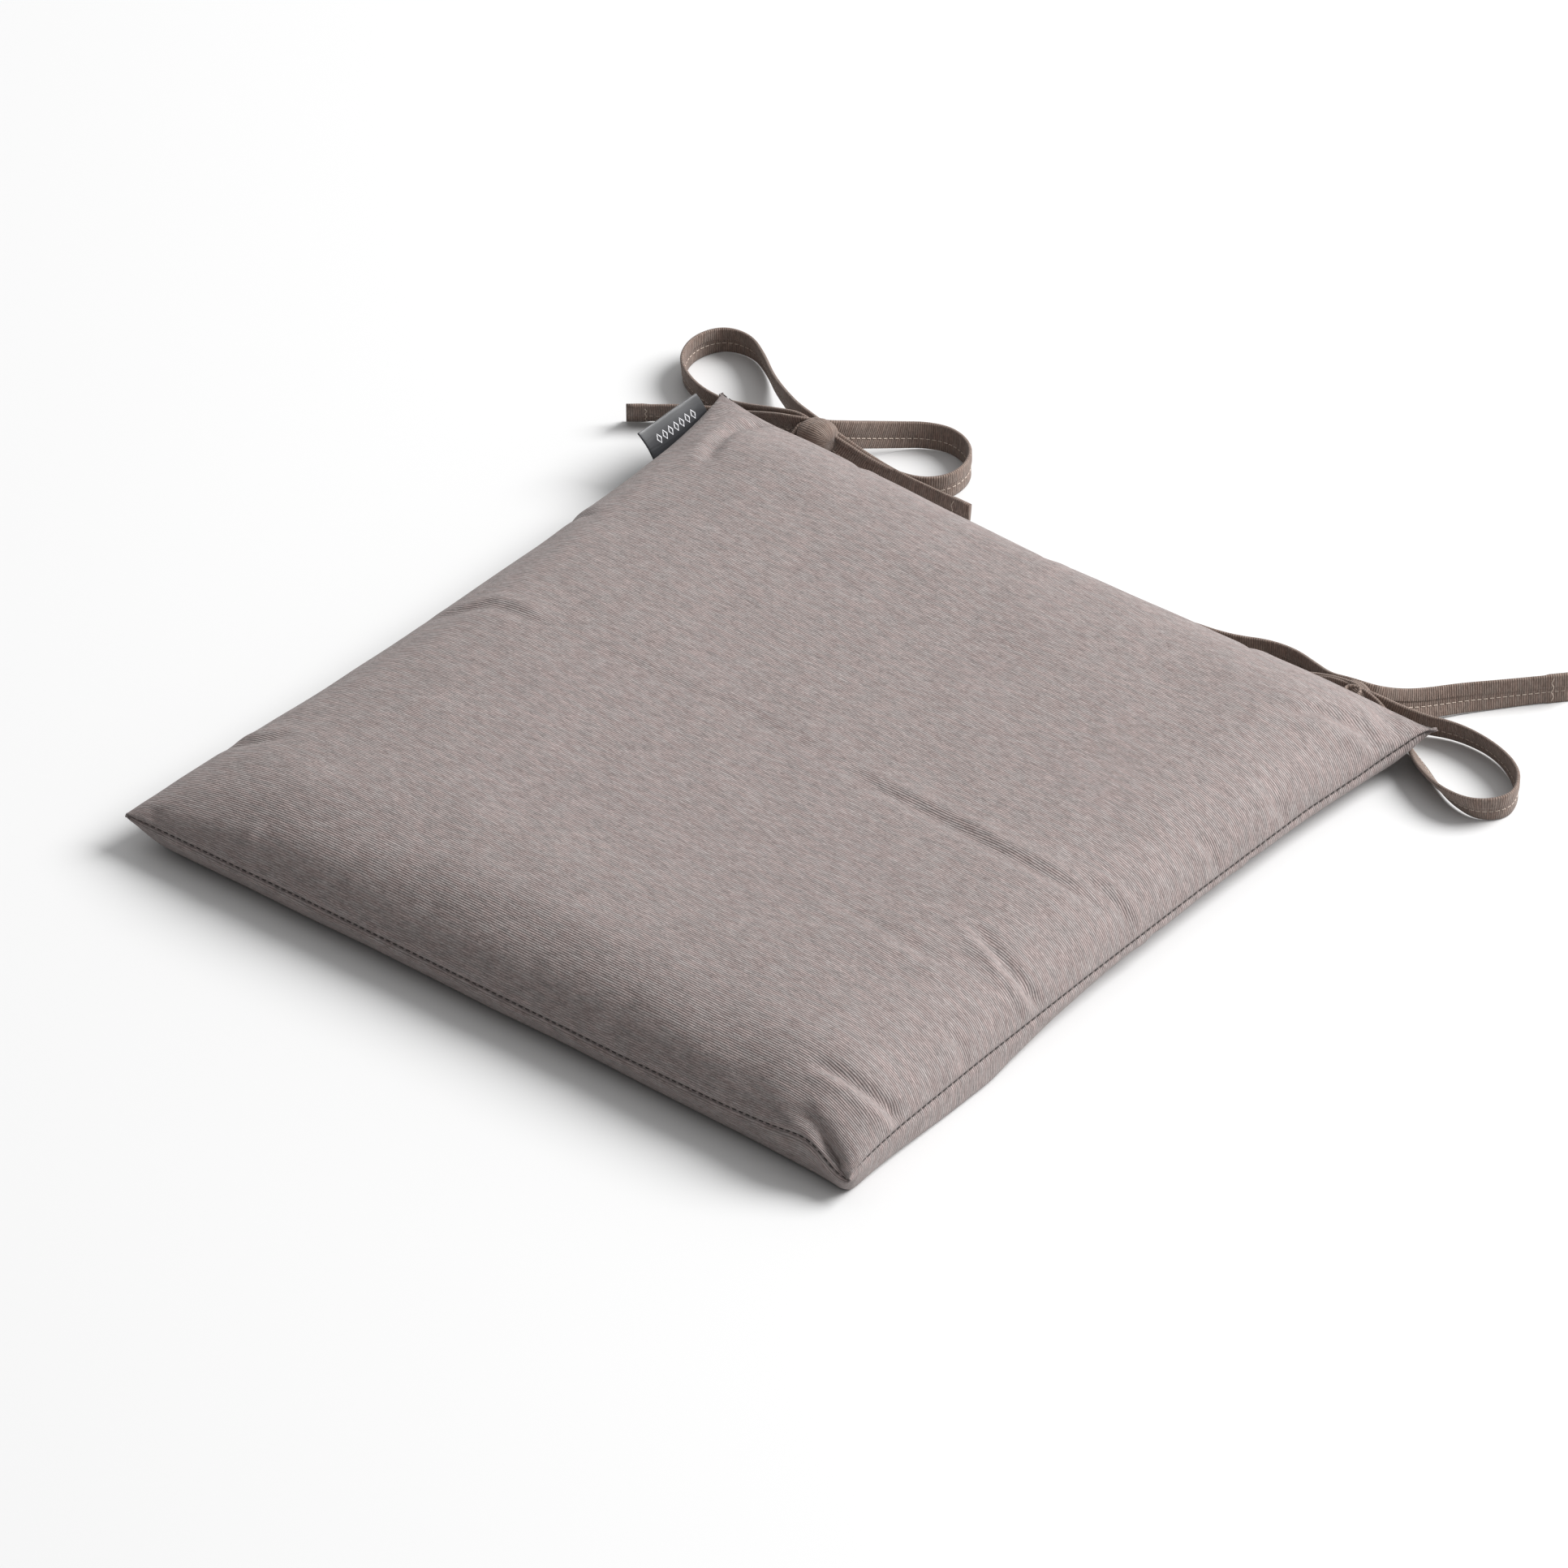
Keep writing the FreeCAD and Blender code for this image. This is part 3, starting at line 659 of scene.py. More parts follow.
@dataclass
class SeatCover:
    """The stuffed cover: two square panels sewn together round their edge over the filling.

    Each panel is a grid of cells. The sewn edge is held on the seam's line, and the cloth between
    is simulated under pressure round the filling.
    """

    tip: float = 230 * MM
    cells: int = 96
    seam_height: float = 18.5 * MM
    crown: float = 52.6 * MM
    underside: float = 1.0 * MM
    pressure: float = 0.8
    slack: float = 0.001
    frames: int = 22
    most_move: float = 7 * MM
    ease_rounds: int = 3
    calm_cells: int = 6
    filling_inset: float = 2.6 * MM
    touching: float = 0.8 * MM
    stretch_stiffness: float = 30.0
    shear_stiffness: float = 12.0
    bending_stiffness: float = 5.0
    damping: float = 8.0
    rim_hold: float = 0.06
    ease_share: float = 0.3
    floor_gap: float = 0.1 * MM
    wave_height: float = 0.22 * MM
    smooth_rim: float = 5.0 * MM
    allowance_at: float = 4.0 * MM
    allowance_width: float = 2.0 * MM
    panel_shift: float = 2.0
    filling_rings: int = 11
    filling_stride: int = 3
    foam_rings: int = 4
    cloth_step: float = 2.8 * MM
    edge_rings: Sequence[float] = (0.0, 0.7, 1.4, 2.2, 3.2, 4.6, 6.6)
    groove_depth: float = 1.3 * MM
    groove_width: float = 1.5 * MM
    allowance_ridge: float = 0.35 * MM
    wall: float = 0.6 * MM
    stitch_length: float = 2.6 * MM
    stitch_pitch: float = 4.2 * MM
    stitch_radius: float = 0.33 * MM
    wadding_gap: float = 6.0 * MM
    wadding_thickness: float = 1.2 * MM
    foam_gap: float = 8.4 * MM

    def level(self, values: Along) -> np.ndarray:
        """A side's list of millimetres, smoothed and read at every grid line, in metres."""
        shares, sizes = zip(*values)
        return softened(np.interp(np.linspace(-1, 1, self.cells + 1), shares, sizes), 5) * MM

    def section(self, run: float, rise: float) -> tuple[np.ndarray, np.ndarray, np.ndarray]:
        """Even steps along a quarter-oval shoulder and on across the flat to the middle.

        Args:
            run: the shoulder's width.
            rise: its height.

        Returns:
            For each step how far in it is, its share of the rise, and the oval's cosine.
        """
        half = self.cells // 2
        turn = np.linspace(0, math.pi / 2, 120)
        leaps = np.hypot(np.diff(run * (1 - np.cos(turn))), np.diff(rise * np.sin(turn)))
        reached = np.concatenate([[0.0], np.cumsum(leaps)])
        wanted = np.linspace(0, 1, half + 1) * (reached[-1] + self.tip - run)
        angle = np.interp(wanted, reached, turn)
        inset = run * (1 - np.cos(angle)) + np.maximum(wanted - reached[-1], 0)
        return np.minimum(inset, self.tip), np.sin(angle), np.cos(angle)

    def side_sections(self, side: Side, panel: Panel) -> np.ndarray:
        """A side's sections at every grid line, as inset, rise and cosine by step and line."""
        shape = SIDE_SHAPES[side]
        if panel is Panel.UPPER:
            runs, rise = self.level(shape.shoulder), self.crown - self.seam_height
        else:
            runs, rise = self.level(shape.heel), self.seam_height - self.underside
        return np.array([self.section(run, rise) for run in runs]).transpose(1, 2, 0)

    def stuffed(self, panel: Panel) -> np.ndarray:
        """A panel's grid of places on the full, uncreased cover, by column and row."""
        half = self.cells // 2
        left, right, front, rear = (self.side_sections(side, panel) for side in
                                    (Side.LEFT, Side.RIGHT, Side.FRONT, Side.REAR))

        def across(low: np.ndarray, high: np.ndarray) -> tuple[np.ndarray, ...]:
            """Joins two sides' sections into one reading from the low side to the high one."""
            place = np.concatenate([low[0] - self.tip, (self.tip - high[0])[::-1][1:]])
            rest = [np.concatenate([low[k], high[k][::-1][1:]]) for k in (1, 2)]
            return place, *rest

        x, x_rise, x_turn = across(left, right)
        y, y_rise, y_turn = (values.T for values in across(front, rear))
        below = np.arange(self.cells + 1) < half
        pulls = {side: self.level(SIDE_SHAPES[side].pull) for side in Side}
        lifts = {side: self.level(SIDE_SHAPES[side].lift) for side in Side}
        pull_x = np.where(below[:, None], -pulls[Side.LEFT], pulls[Side.RIGHT])
        pull_y = np.where(below[None, :], -pulls[Side.FRONT][:, None], pulls[Side.REAR][:, None])
        hold_x, hold_y = (self.rim_hold + (1 - self.rim_hold) * turn ** 2
                          for turn in (x_turn, y_turn))
        lift = np.where(below[:, None], lifts[Side.LEFT], lifts[Side.RIGHT]) * x_turn ** 4 \
            + np.where(below[None, :], lifts[Side.FRONT][:, None],
                       lifts[Side.REAR][:, None]) * y_turn ** 4
        grid_x = x - pull_x * hold_x * np.minimum(1, np.abs(x) / self.tip * 3)
        grid_y = y - pull_y * hold_y * np.minimum(1, np.abs(y) / self.tip * 3)
        height = self.crown if panel is Panel.UPPER else self.underside
        grid_z = self.seam_height + (height - self.seam_height) * x_rise * y_rise + lift
        return np.stack([grid_x, grid_y, grid_z], axis=-1)

    def closed_mesh(self, name: str, upper: np.ndarray, lower: np.ndarray) -> bpy.types.Mesh:
        """The two grids as one closed mesh that shares its seam vertices."""
        count = len(upper)
        numbers = np.arange(count * count).reshape(count, count)
        inner = inside_rim(count)
        under = numbers.copy()
        under[inner] = count * count + np.arange(inner.sum())
        points = np.concatenate([upper.reshape(-1, 3), lower[inner]])
        faces = grid_faces(numbers, False) + grid_faces(under, True)
        return smooth_mesh(name, points, faces)

    def simulate(self, upper: np.ndarray, lower: np.ndarray) -> tuple[np.ndarray, np.ndarray]:
        """Lets the sewn cloth settle under pressure round the filling.

        Args:
            upper: the upper panel's grid.
            lower: the lower panel's grid.

        Returns:
            The two grids at rest.
        """
        count = self.cells + 1
        inner = inside_rim(count)
        cloth = add_piece("cover_cloth", self.closed_mesh("cover_cloth", upper, lower))
        held = cloth.vertex_groups.new(name="seam")
        held.add(np.flatnonzero(~inner).tolist(), 1.0, "REPLACE")
        filling = add_piece("filling", self.closed_mesh("filling", upper, lower))
        make_active(filling)
        bpy.ops.object.mode_set(mode="EDIT")
        bpy.ops.mesh.select_all(action="SELECT")
        bpy.ops.transform.shrink_fatten(value=-self.filling_inset)
        bpy.ops.object.mode_set(mode="OBJECT")
        filling.modifiers.new("Collision", "COLLISION")
        filling.collision.thickness_outer = self.touching
        self.set_up_cloth(cloth)
        scene = bpy.context.scene
        for number in range(1, self.frames + 1):
            scene.frame_set(number)
        settled = cloth.evaluated_get(bpy.context.evaluated_depsgraph_get()).data
        result = np.empty(len(settled.vertices) * 3)
        settled.vertices.foreach_get("co", result)
        result = result.reshape(-1, 3)
        for helper in (cloth, filling):
            bpy.data.objects.remove(helper)
        scene.frame_set(1)
        settled_upper = result[:count * count].reshape(count, count, 3)
        settled_lower = settled_upper.copy()
        settled_lower[inner] = result[count * count:]
        return self.held_near(settled_upper, upper), self.held_near(settled_lower, lower)

    def held_near(self, settled: np.ndarray, start: np.ndarray) -> np.ndarray:
        """The settled grid, calmed near the seam and nowhere further moved than most_move."""
        move = settled - start
        for _ in range(self.ease_rounds):
            beside = move[2:, 1:-1] + move[:-2, 1:-1] + move[1:-1, 2:] + move[1:-1, :-2]
            move[1:-1, 1:-1] = 0.5 * move[1:-1, 1:-1] + 0.125 * beside
        rings = np.arange(len(move))
        rings = np.minimum(rings, rings[::-1])
        from_seam = np.minimum(rings[:, None], rings[None, :])
        move = move * smooth_step(0, self.calm_cells, from_seam)[..., None]
        far = np.linalg.norm(move, axis=-1, keepdims=True)
        move = move * np.minimum(1, self.most_move / np.maximum(far, 1e-9))
        log.info("cloth moved %.1f mm at most, %.1f mm on average", far.max() / MM, far.mean() / MM)
        return start + move

    def set_up_cloth(self, cloth: bpy.types.Object) -> None:
        """Gives the cover its cloth settings: a firm canvas, held at its seam."""
        modifier = cloth.modifiers.new("Cloth", "CLOTH")
        settings = modifier.settings
        settings.quality = 6
        settings.mass = 0.2
        settings.tension_stiffness = self.stretch_stiffness
        settings.compression_stiffness = self.stretch_stiffness
        settings.shear_stiffness = self.shear_stiffness
        settings.bending_stiffness = self.bending_stiffness
        settings.tension_damping = self.damping
        settings.compression_damping = self.damping
        settings.shear_damping = self.damping
        settings.air_damping = 3
        settings.vertex_group_mass = "seam"
        settings.pin_stiffness = 1
        settings.shrink_min = -self.slack
        settings.use_pressure = True
        settings.uniform_pressure_force = self.pressure
        settings.effector_weights.gravity = 0.0
        modifier.collision_settings.distance_min = self.touching
        modifier.collision_settings.collision_quality = 2
        modifier.point_cache.frame_start = 1
        modifier.point_cache.frame_end = self.frames

    def build(self) -> None:
        """Makes the cover, its closing seam and the filling inside it."""
        upper = self.stuffed(Panel.UPPER)
        lower = self.sewn_to(self.stuffed(Panel.LOWER), upper)
        upper, lower = self.simulate(upper, lower)
        lines = self.cloth_lines(upper)
        upper, pattern = self.refine(upper, lines)
        lower, lower_pattern = self.refine(lower, lines)
        normals = {Panel.UPPER: grid_normals(upper), Panel.LOWER: -grid_normals(lower)}
        seam_normals = unit(normals[Panel.UPPER] + normals[Panel.LOWER])
        grids = {}
        for panel, grid, places, creases in (
                (Panel.UPPER, upper, pattern, UPPER_CREASES),
                (Panel.LOWER, lower, lower_pattern, LOWER_CREASES)):
            grids[panel] = self.dress(grid, normals[panel], seam_normals, places, creases)
        grids[Panel.LOWER][..., 2] = np.maximum(grids[Panel.LOWER][..., 2], self.floor_gap)
        edge = self.edge_order(len(upper))
        grids[Panel.LOWER][edge] = grids[Panel.UPPER][edge]
        self.make_panel(Panel.UPPER, "top_panel", grids[Panel.UPPER], pattern)
        self.make_panel(Panel.LOWER, "bottom_panel", grids[Panel.LOWER], lower_pattern)
        self.make_stitching(grids[Panel.UPPER][edge], seam_normals[edge])
        self.make_filling({Panel.UPPER: upper, Panel.LOWER: lower})

    def sewn_to(self, grid: np.ndarray, other: np.ndarray) -> np.ndarray:
        """A panel's grid, eased near its rim so that the rim lies on the other panel's."""
        eased = grid.copy()
        share = np.linspace(0, 1, len(grid))
        fade = 1 - smooth_step(0, self.ease_share, share)
        for low in (True, False):
            edge, ease = (0, fade) if low else (-1, fade[::-1])
            eased += ease[None, :, None] * (other[:, edge] - grid[:, edge])[:, None]
            eased += ease[:, None, None] * (other[edge] - grid[edge])[None]
        for edge in (0, -1):
            eased[:, edge], eased[edge] = other[:, edge], other[edge]
        return eased

    def lane(self, grid: np.ndarray, axis: int) -> np.ndarray:
        """The distance reached at each grid line, along a panel's middle."""
        middle = self.cells // 2
        return running_length(grid[:, middle] if axis == 0 else grid[middle])

    def cloth_lines(self, grid: np.ndarray) -> list[np.ndarray]:
        """Where the fine grid's lines are among the coarse grid's, for each axis."""
        edge = np.array(self.edge_rings) * MM
        lines = []
        for axis in (0, 1):
            reached = self.lane(grid, axis)
            count = round((reached[-1] - 2 * edge[-1]) / self.cloth_step)
            middle = np.linspace(edge[-1], reached[-1] - edge[-1], count + 1)
            wanted = np.concatenate([edge[:-1], middle, reached[-1] - edge[:-1][::-1]])
            lines.append(np.interp(wanted, reached, np.arange(len(reached))))
        return lines

    def refine(self, grid: np.ndarray, lines: list[np.ndarray]) -> tuple[np.ndarray, np.ndarray]:
        """A finer grid with close rings along the seam.

        Args:
            grid: the coarse grid.
            lines: where the fine grid's lines are among its own.

        Returns:
            The fine grid, and each of its points' pattern coordinates from the panel's middle.
        """
        finer = smooth_read(grid, lines[0])
        finer = np.swapaxes(smooth_read(np.swapaxes(finer, 0, 1), lines[1]), 0, 1)
        scales = []
        for axis in (0, 1):
            reached = self.lane(grid, axis)
            place = np.interp(lines[axis], np.arange(len(reached)), reached)
            scales.append(place - reached[-1] / 2)
        places = np.stack(np.broadcast_arrays(scales[0][:, None], scales[1][None, :]), axis=-1)
        return finer, places

    def dress(self, grid: np.ndarray, normals: np.ndarray, seam_normals: np.ndarray,
              places: np.ndarray, creases: Sequence[Crease]) -> np.ndarray:
        """Presses the creases, the seam's groove and the ridge of its allowance into a panel."""
        half = places[-1, -1]
        share = places / half * 100 * CREASE_UNIT
        relief = sum(crease.relief(share) for crease in creases) * MM
        wave_x, wave_y = places[..., 0] / MM, places[..., 1] / MM
        relief = relief + self.wave_height * (
            np.sin(wave_x / 17.3 + 1.7 * np.sin(wave_y / 31.0)) * np.sin(wave_y / 23.9 + 0.8)
            + 0.7 * np.sin(wave_x / 9.7 + wave_y / 41.0) * np.sin(wave_y / 12.1 + 2.1))
        apart = np.minimum(half[0] - np.abs(places[..., 0]), half[1] - np.abs(places[..., 1]))
        relief = relief * smooth_step(0, self.smooth_rim, apart)
        beyond = (apart - self.allowance_at) / self.allowance_width
        ridge = self.allowance_ridge * np.exp(-beyond ** 2)
        groove = -self.groove_depth * np.exp(-(apart / self.groove_width) ** 2)
        return grid + normals * (relief + ridge)[..., None] + seam_normals * groove[..., None]

    def edge_order(self, count: int) -> tuple[np.ndarray, np.ndarray]:
        """The grid's rim, once round counterclockwise from the front left corner."""
        run = np.arange(count - 1)
        last = count - 1
        columns = np.concatenate([run, np.full(last, last), last - run, np.zeros(last, int)])
        rows = np.concatenate([np.zeros(last, int), run, np.full(last, last), last - run])
        return columns, rows

    def make_panel(self, panel: Panel, node: str, grid: np.ndarray, places: np.ndarray) -> None:
        """Makes one panel with the cloth's thickness inwards."""
        mesh = grid_mesh(node, grid, panel is Panel.LOWER)
        shift = np.array([0.0, 0.0 if panel is Panel.UPPER else self.panel_shift])
        set_pattern(mesh, (places + shift).reshape(-1, 2))
        mesh.materials.append(material(COVER_CLOTH))
        piece = add_piece(f"{node}_cloth", mesh)
        thicken(piece, self.wall)
        hand_over(piece, node)

    def make_stitching(self, line: np.ndarray, outward: np.ndarray) -> None:
        """Makes the closing stitches, which lie in the seam's groove; their near-black colour is
        thread and painted shadow of the groove.
        """
        line, outward = (np.vstack([values, values[:1]]) for values in (line, outward))
        reached = running_length(line)
        count = int(reached[-1] / self.stitch_pitch)
        starts = np.arange(count) * reached[-1] / count

        def at(distances: np.ndarray) -> np.ndarray:
            """Places in the groove at distances along it."""
            read = [np.stack([np.interp(distances % reached[-1], reached, values[:, axis])
                              for axis in range(3)], axis=-1) for values in (line, outward)]
            return read[0] + read[1] * self.stitch_radius

        first, second = at(starts), at(starts + self.stitch_length)
        mesh = thread_marks("closing_stitches", (first + second) / 2, second - first,
                            self.stitch_radius)
        mesh.materials.append(material(SEAM_THREAD_AND_SHADOW))
        hand_over(add_piece("closing_stitches", mesh), "seam_thread")

    def make_filling(self, grids: dict[Panel, np.ndarray]) -> None:
        """Makes the two layers of wadding and the foam between them, inside the cover."""
        faces = {}
        for panel, node in ((Panel.UPPER, "upper_wadding"), (Panel.LOWER, "lower_wadding")):
            kept = slice(self.filling_rings, -self.filling_rings, self.filling_stride)
            inner = grids[panel][kept, kept]
            away = grid_normals(inner) * panel.value
            mesh = grid_mesh(node, inner - away * self.wadding_gap, panel is Panel.LOWER)
            mesh.materials.append(material(WADDING))
            piece = add_piece(f"{node}_layer", mesh)
            thicken(piece, self.wadding_thickness)
            hand_over(piece, node)
            kept = slice(self.foam_rings, -self.foam_rings)
            faces[panel] = (inner - away * self.foam_gap)[kept, kept]
        self.make_foam(faces[Panel.UPPER], faces[Panel.LOWER])

    def make_foam(self, upper: np.ndarray, lower: np.ndarray) -> None:
        """Makes the foam slab as the cover squeezes it: two faces and upright sides."""
        columns, rows = upper.shape[:2]
        numbers = np.arange(columns * rows).reshape(columns, rows)
        faces = grid_faces(numbers, False) + grid_faces(numbers + columns * rows, True)
        rim = np.concatenate([numbers[:, 0], numbers[-1, 1:], numbers[-2::-1, -1],
                              numbers[0, -2:0:-1]])
        low = rim + columns * rows
        faces += np.stack([rim, low, np.roll(low, -1), np.roll(rim, -1)], axis=1).tolist()
        points = np.concatenate([upper.reshape(-1, 3), lower.reshape(-1, 3)])
        mesh = smooth_mesh("foam_slab", points, faces)
        mesh.materials.append(material(FOAM))
        piece = add_piece("foam_slab", mesh)
        make_active(piece)
        bpy.ops.object.shade_smooth_by_angle(angle=math.radians(40))
        hand_over(piece, "foam_core")


def smooth_read(values: np.ndarray, numbers: np.ndarray) -> np.ndarray:
    """Reads a smooth curve through values at fractional numbers along the first axis."""
    first, last = 2 * values[:1] - values[1:2], 2 * values[-1:] - values[-2:-1]
    padded = np.concatenate([first, values, last])
    base = np.clip(np.floor(numbers).astype(int), 0, len(values) - 2)
    part = (numbers - base).reshape(-1, *([1] * (values.ndim - 1)))
    before, start, end, after = (padded[base + step] for step in range(4))
    return 0.5 * (2 * start + (end - before) * part
                  + (2 * before - 5 * start + 4 * end - after) * part ** 2
                  + (3 * start - before - 3 * end + after) * part ** 3)


def grid_normals(grid: np.ndarray) -> np.ndarray:
    """Unit normals of a grid of places, by column and row, upwards on a level grid."""
    ahead = np.gradient(grid, axis=0)
    aside = np.gradient(grid, axis=1)
    normals = np.cross(ahead, aside)
    for corner in ((0, 0), (0, -1), (-1, 0), (-1, -1)):
        beside = tuple(1 if place == 0 else -2 for place in corner)
        normals[corner] = normals[beside]
    return unit(normals)


def grid_mesh(name: str, grid: np.ndarray, turned: bool) -> bpy.types.Mesh:
    """A smooth mesh of a grid of places, facing down if turned."""
    numbers = np.arange(grid.shape[0] * grid.shape[1]).reshape(grid.shape[:2])
    return smooth_mesh(name, grid.reshape(-1, 3), grid_faces(numbers, turned))


# ---------------------------------------------------------------- ties
class Bow(Enum):
    """The two bows and where the middle of each knot is."""

    LEFT = (-0.177, 0.2391, 0.024)
    RIGHT = (0.177, 0.2391, 0.024)


@dataclass
class Tie:
    """One flat tie: out of the seam, into the knot, round its loop and out again as a tail.

    Routes are millimetres from the knot's middle in x and y, and from the floor in z. leans are
    pairs of a share of the tie's length and the degrees that the strap turns about its own line.
    """

    name: str
    bow: Bow
    entry: Sequence[Triple]
    loop: Sequence[Triple]
    tail: Sequence[Triple]
    leans: Along
    width: float = 16 * MM
    thickness: float = 2.2 * MM
    hem_length: float = 12 * MM
    hem_swell: float = 1.35
    hem_widen: float = 1.05
    zigzag_step: float = 1.2 * MM
    zigzag_reach: float = 0.42
    fold_at: float = 1.3 * MM
    stitch_at: float = -1.6 * MM
    stitch_pitch: float = 3.3 * MM
    stitch_length: float = 2.3 * MM
    stitch_radius: float = 0.24 * MM
    steps: int = 12

    def route(self) -> list[Vector]:
        """The control points of the whole tie, from the seam to the tip."""
        middle = Vector(self.bow.value)
        points = [*self.entry, *self.loop, *self.tail]
        return [Vector((middle.x + x * MM, middle.y + y * MM, z * MM)) for x, y, z in points]

    def centreline(self) -> np.ndarray:
        """Points along the smooth line through the route."""
        curve = bpy.data.curves.new(f"{self.name}_route", "CURVE")
        curve.dimensions = "3D"
        spline = curve.splines.new("NURBS")
        route = self.route()
        spline.points.add(len(route) - 1)
        for point, place in zip(spline.points, route):
            point.co = (*place, 1)
        spline.order_u = 3
        spline.use_endpoint_u = True
        spline.resolution_u = self.steps
        holder = bpy.data.objects.new(f"{self.name}_route", curve)
        bpy.context.scene.collection.objects.link(holder)
        mesh = bpy.data.meshes.new_from_object(holder)
        line = np.array([vertex.co[:] for vertex in mesh.vertices])
        bpy.data.objects.remove(holder)
        bpy.data.meshes.remove(mesh)
        bpy.data.curves.remove(curve)
        gaps = np.linalg.norm(np.diff(line, axis=0), axis=1)
        return line[np.concatenate([[True], gaps > 1e-6])]

    def section(self) -> np.ndarray:
        """The strap's outline across its width: w up the width, n out of the folded face."""
        half, edge = self.width / 2, self.thickness / 2
        folded, single, dent = edge, edge * 0.55, 0.16 * MM
        fold, stitch = self.fold_at, self.stitch_at
        return np.array([
            (half, 0), (half - 0.2 * MM, 0.62 * edge), (half - 0.9 * MM, 0.9 * edge),
            (half * 0.5, 0.97 * folded), (fold + 0.5 * MM, folded),
            (fold + 0.1 * MM, 0.93 * folded),
            (fold, single), (fold - 0.9 * MM, single * 0.98), (stitch + 0.35 * MM, single),
            (stitch, single - dent), (stitch - 0.35 * MM, single), (-half * 0.6, single * 1.15),
            (-half + 0.9 * MM, 0.74 * edge), (-half + 0.2 * MM, 0.55 * edge), (-half, 0),
            (-half + 0.2 * MM, -0.62 * edge), (-half + 0.9 * MM, -0.92 * edge),
            (-half * 0.6, -edge), (stitch - 0.35 * MM, -0.98 * edge), (stitch, -edge + dent),
            (stitch + 0.35 * MM, -0.98 * edge), (half * 0.4, -edge),
            (half - 0.9 * MM, -0.92 * edge), (half - 0.2 * MM, -0.62 * edge),
        ])

    def frames(self, line: np.ndarray) -> tuple[np.ndarray, np.ndarray, np.ndarray]:
        """Distance along the line, the width's direction and the folded face's, at each point."""
        along = running_length(line)
        heading = unit(np.gradient(line, along, axis=0))
        upright = np.array([0.0, 0.0, 1.0])
        rise = unit(upright - heading * (heading @ upright)[:, None])
        outward = np.cross(heading, rise)
        shares, degrees = zip(*self.leans)
        lean = np.radians(np.interp(along / along[-1], shares, degrees))
        lean = softened(lean, 25)[:, None]
        return along, rise * np.cos(lean) + outward * np.sin(lean), \
            outward * np.cos(lean) - rise * np.sin(lean)

    def build(self) -> None:
        line = self.centreline()
        along, rise, outward = self.frames(line)
        section = self.section()
        hem = along[-1] - self.hem_length
        swell = 1 + (self.hem_swell - 1) * smooth_step(hem - 0.4 * MM, hem, along)
        widen = 1 + (self.hem_widen - 1) * smooth_step(hem - 0.6 * MM, hem, along)
        rings = (line[:, None, :] + rise[:, None, :] * (section[:, 0] * widen[:, None])[:, :, None]
                 + outward[:, None, :] * (section[:, 1] * swell[:, None])[:, :, None])
        strap = self.make_strap(rings, section, along)
        stitches = self.make_stitches(line, along, rise, outward)
        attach(strap, BODY)
        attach(stitches, BODY)
        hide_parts(self.name)
        log.info("%s, %.0f mm long", self.name, along[-1] / MM)

    def make_strap(self, rings: np.ndarray, section: np.ndarray,
                   along: np.ndarray) -> bpy.types.Object:
        """Joins the rings into a closed strap."""
        count, around = rings.shape[:2]
        ring = np.arange(around)
        following = (ring + 1) % around
        faces = []
        for step in range(count - 1):
            base = step * around
            faces += np.stack([base + ring, base + around + ring, base + around + following,
                               base + following], axis=1).tolist()
        faces.append(ring.tolist())
        faces.append((ring + (count - 1) * around)[::-1].tolist())
        mesh = smooth_mesh(self.name, rings.reshape(-1, 3), faces)
        girth = running_length(section)
        places = np.stack(np.broadcast_arrays(girth[None, :], along[:, None]), axis=-1)
        set_pattern(mesh, places.reshape(-1, 2))
        mesh.materials.append(material(SHADED_TIE_CLOTH))
        return add_piece(f"{self.name}_strap", mesh)

    def make_stitches(self, line: np.ndarray, along: np.ndarray, rise: np.ndarray,
                      outward: np.ndarray) -> bpy.types.Object:
        """The two rows of stitching, one on each face, and the zigzag of the hem."""
        places, axes = [], []
        starts = np.arange(self.stitch_pitch, along[-1] - self.stitch_pitch, self.stitch_pitch)

        def at(distance: float, w: float, n: float) -> np.ndarray:
            """A point of the strap's surface at a distance along it."""
            pick = [np.interp(distance, along, values[:, axis])
                    for values in (line, rise, outward) for axis in range(3)]
            centre, up, out = np.array(pick).reshape(3, 3)
            return centre + up * w + out * n

        for face, level in ((1, 0.55), (-1, 1.0)):
            height = face * (self.thickness / 2 * level)
            for start in starts:
                ends = [at(start + shift, self.stitch_at, height)
                        for shift in (0, self.stitch_length)]
                places.append((ends[0] + ends[1]) / 2)
                axes.append(ends[1] - ends[0])
        zigzag = np.linspace(-self.zigzag_reach, self.zigzag_reach, 6) * self.width
        hem = along[-1] - self.hem_length
        for face in (1, -1):
            height = face * self.thickness / 2 * self.hem_swell
            for number, (low, high) in enumerate(zip(zigzag, zigzag[1:])):
                shift = (number % 2) * self.zigzag_step
                ends = [at(hem + self.zigzag_step + shift, low, height),
                        at(hem + 2 * self.zigzag_step - shift, high, height)]
                places.append((ends[0] + ends[1]) / 2)
                axes.append(ends[1] - ends[0])
        mesh = thread_marks(f"{self.name}_stitching", np.array(places), np.array(axes),
                            self.stitch_radius)
        mesh.materials.append(material(TIE_THREAD))
        return add_piece(f"{self.name}_stitching", mesh)


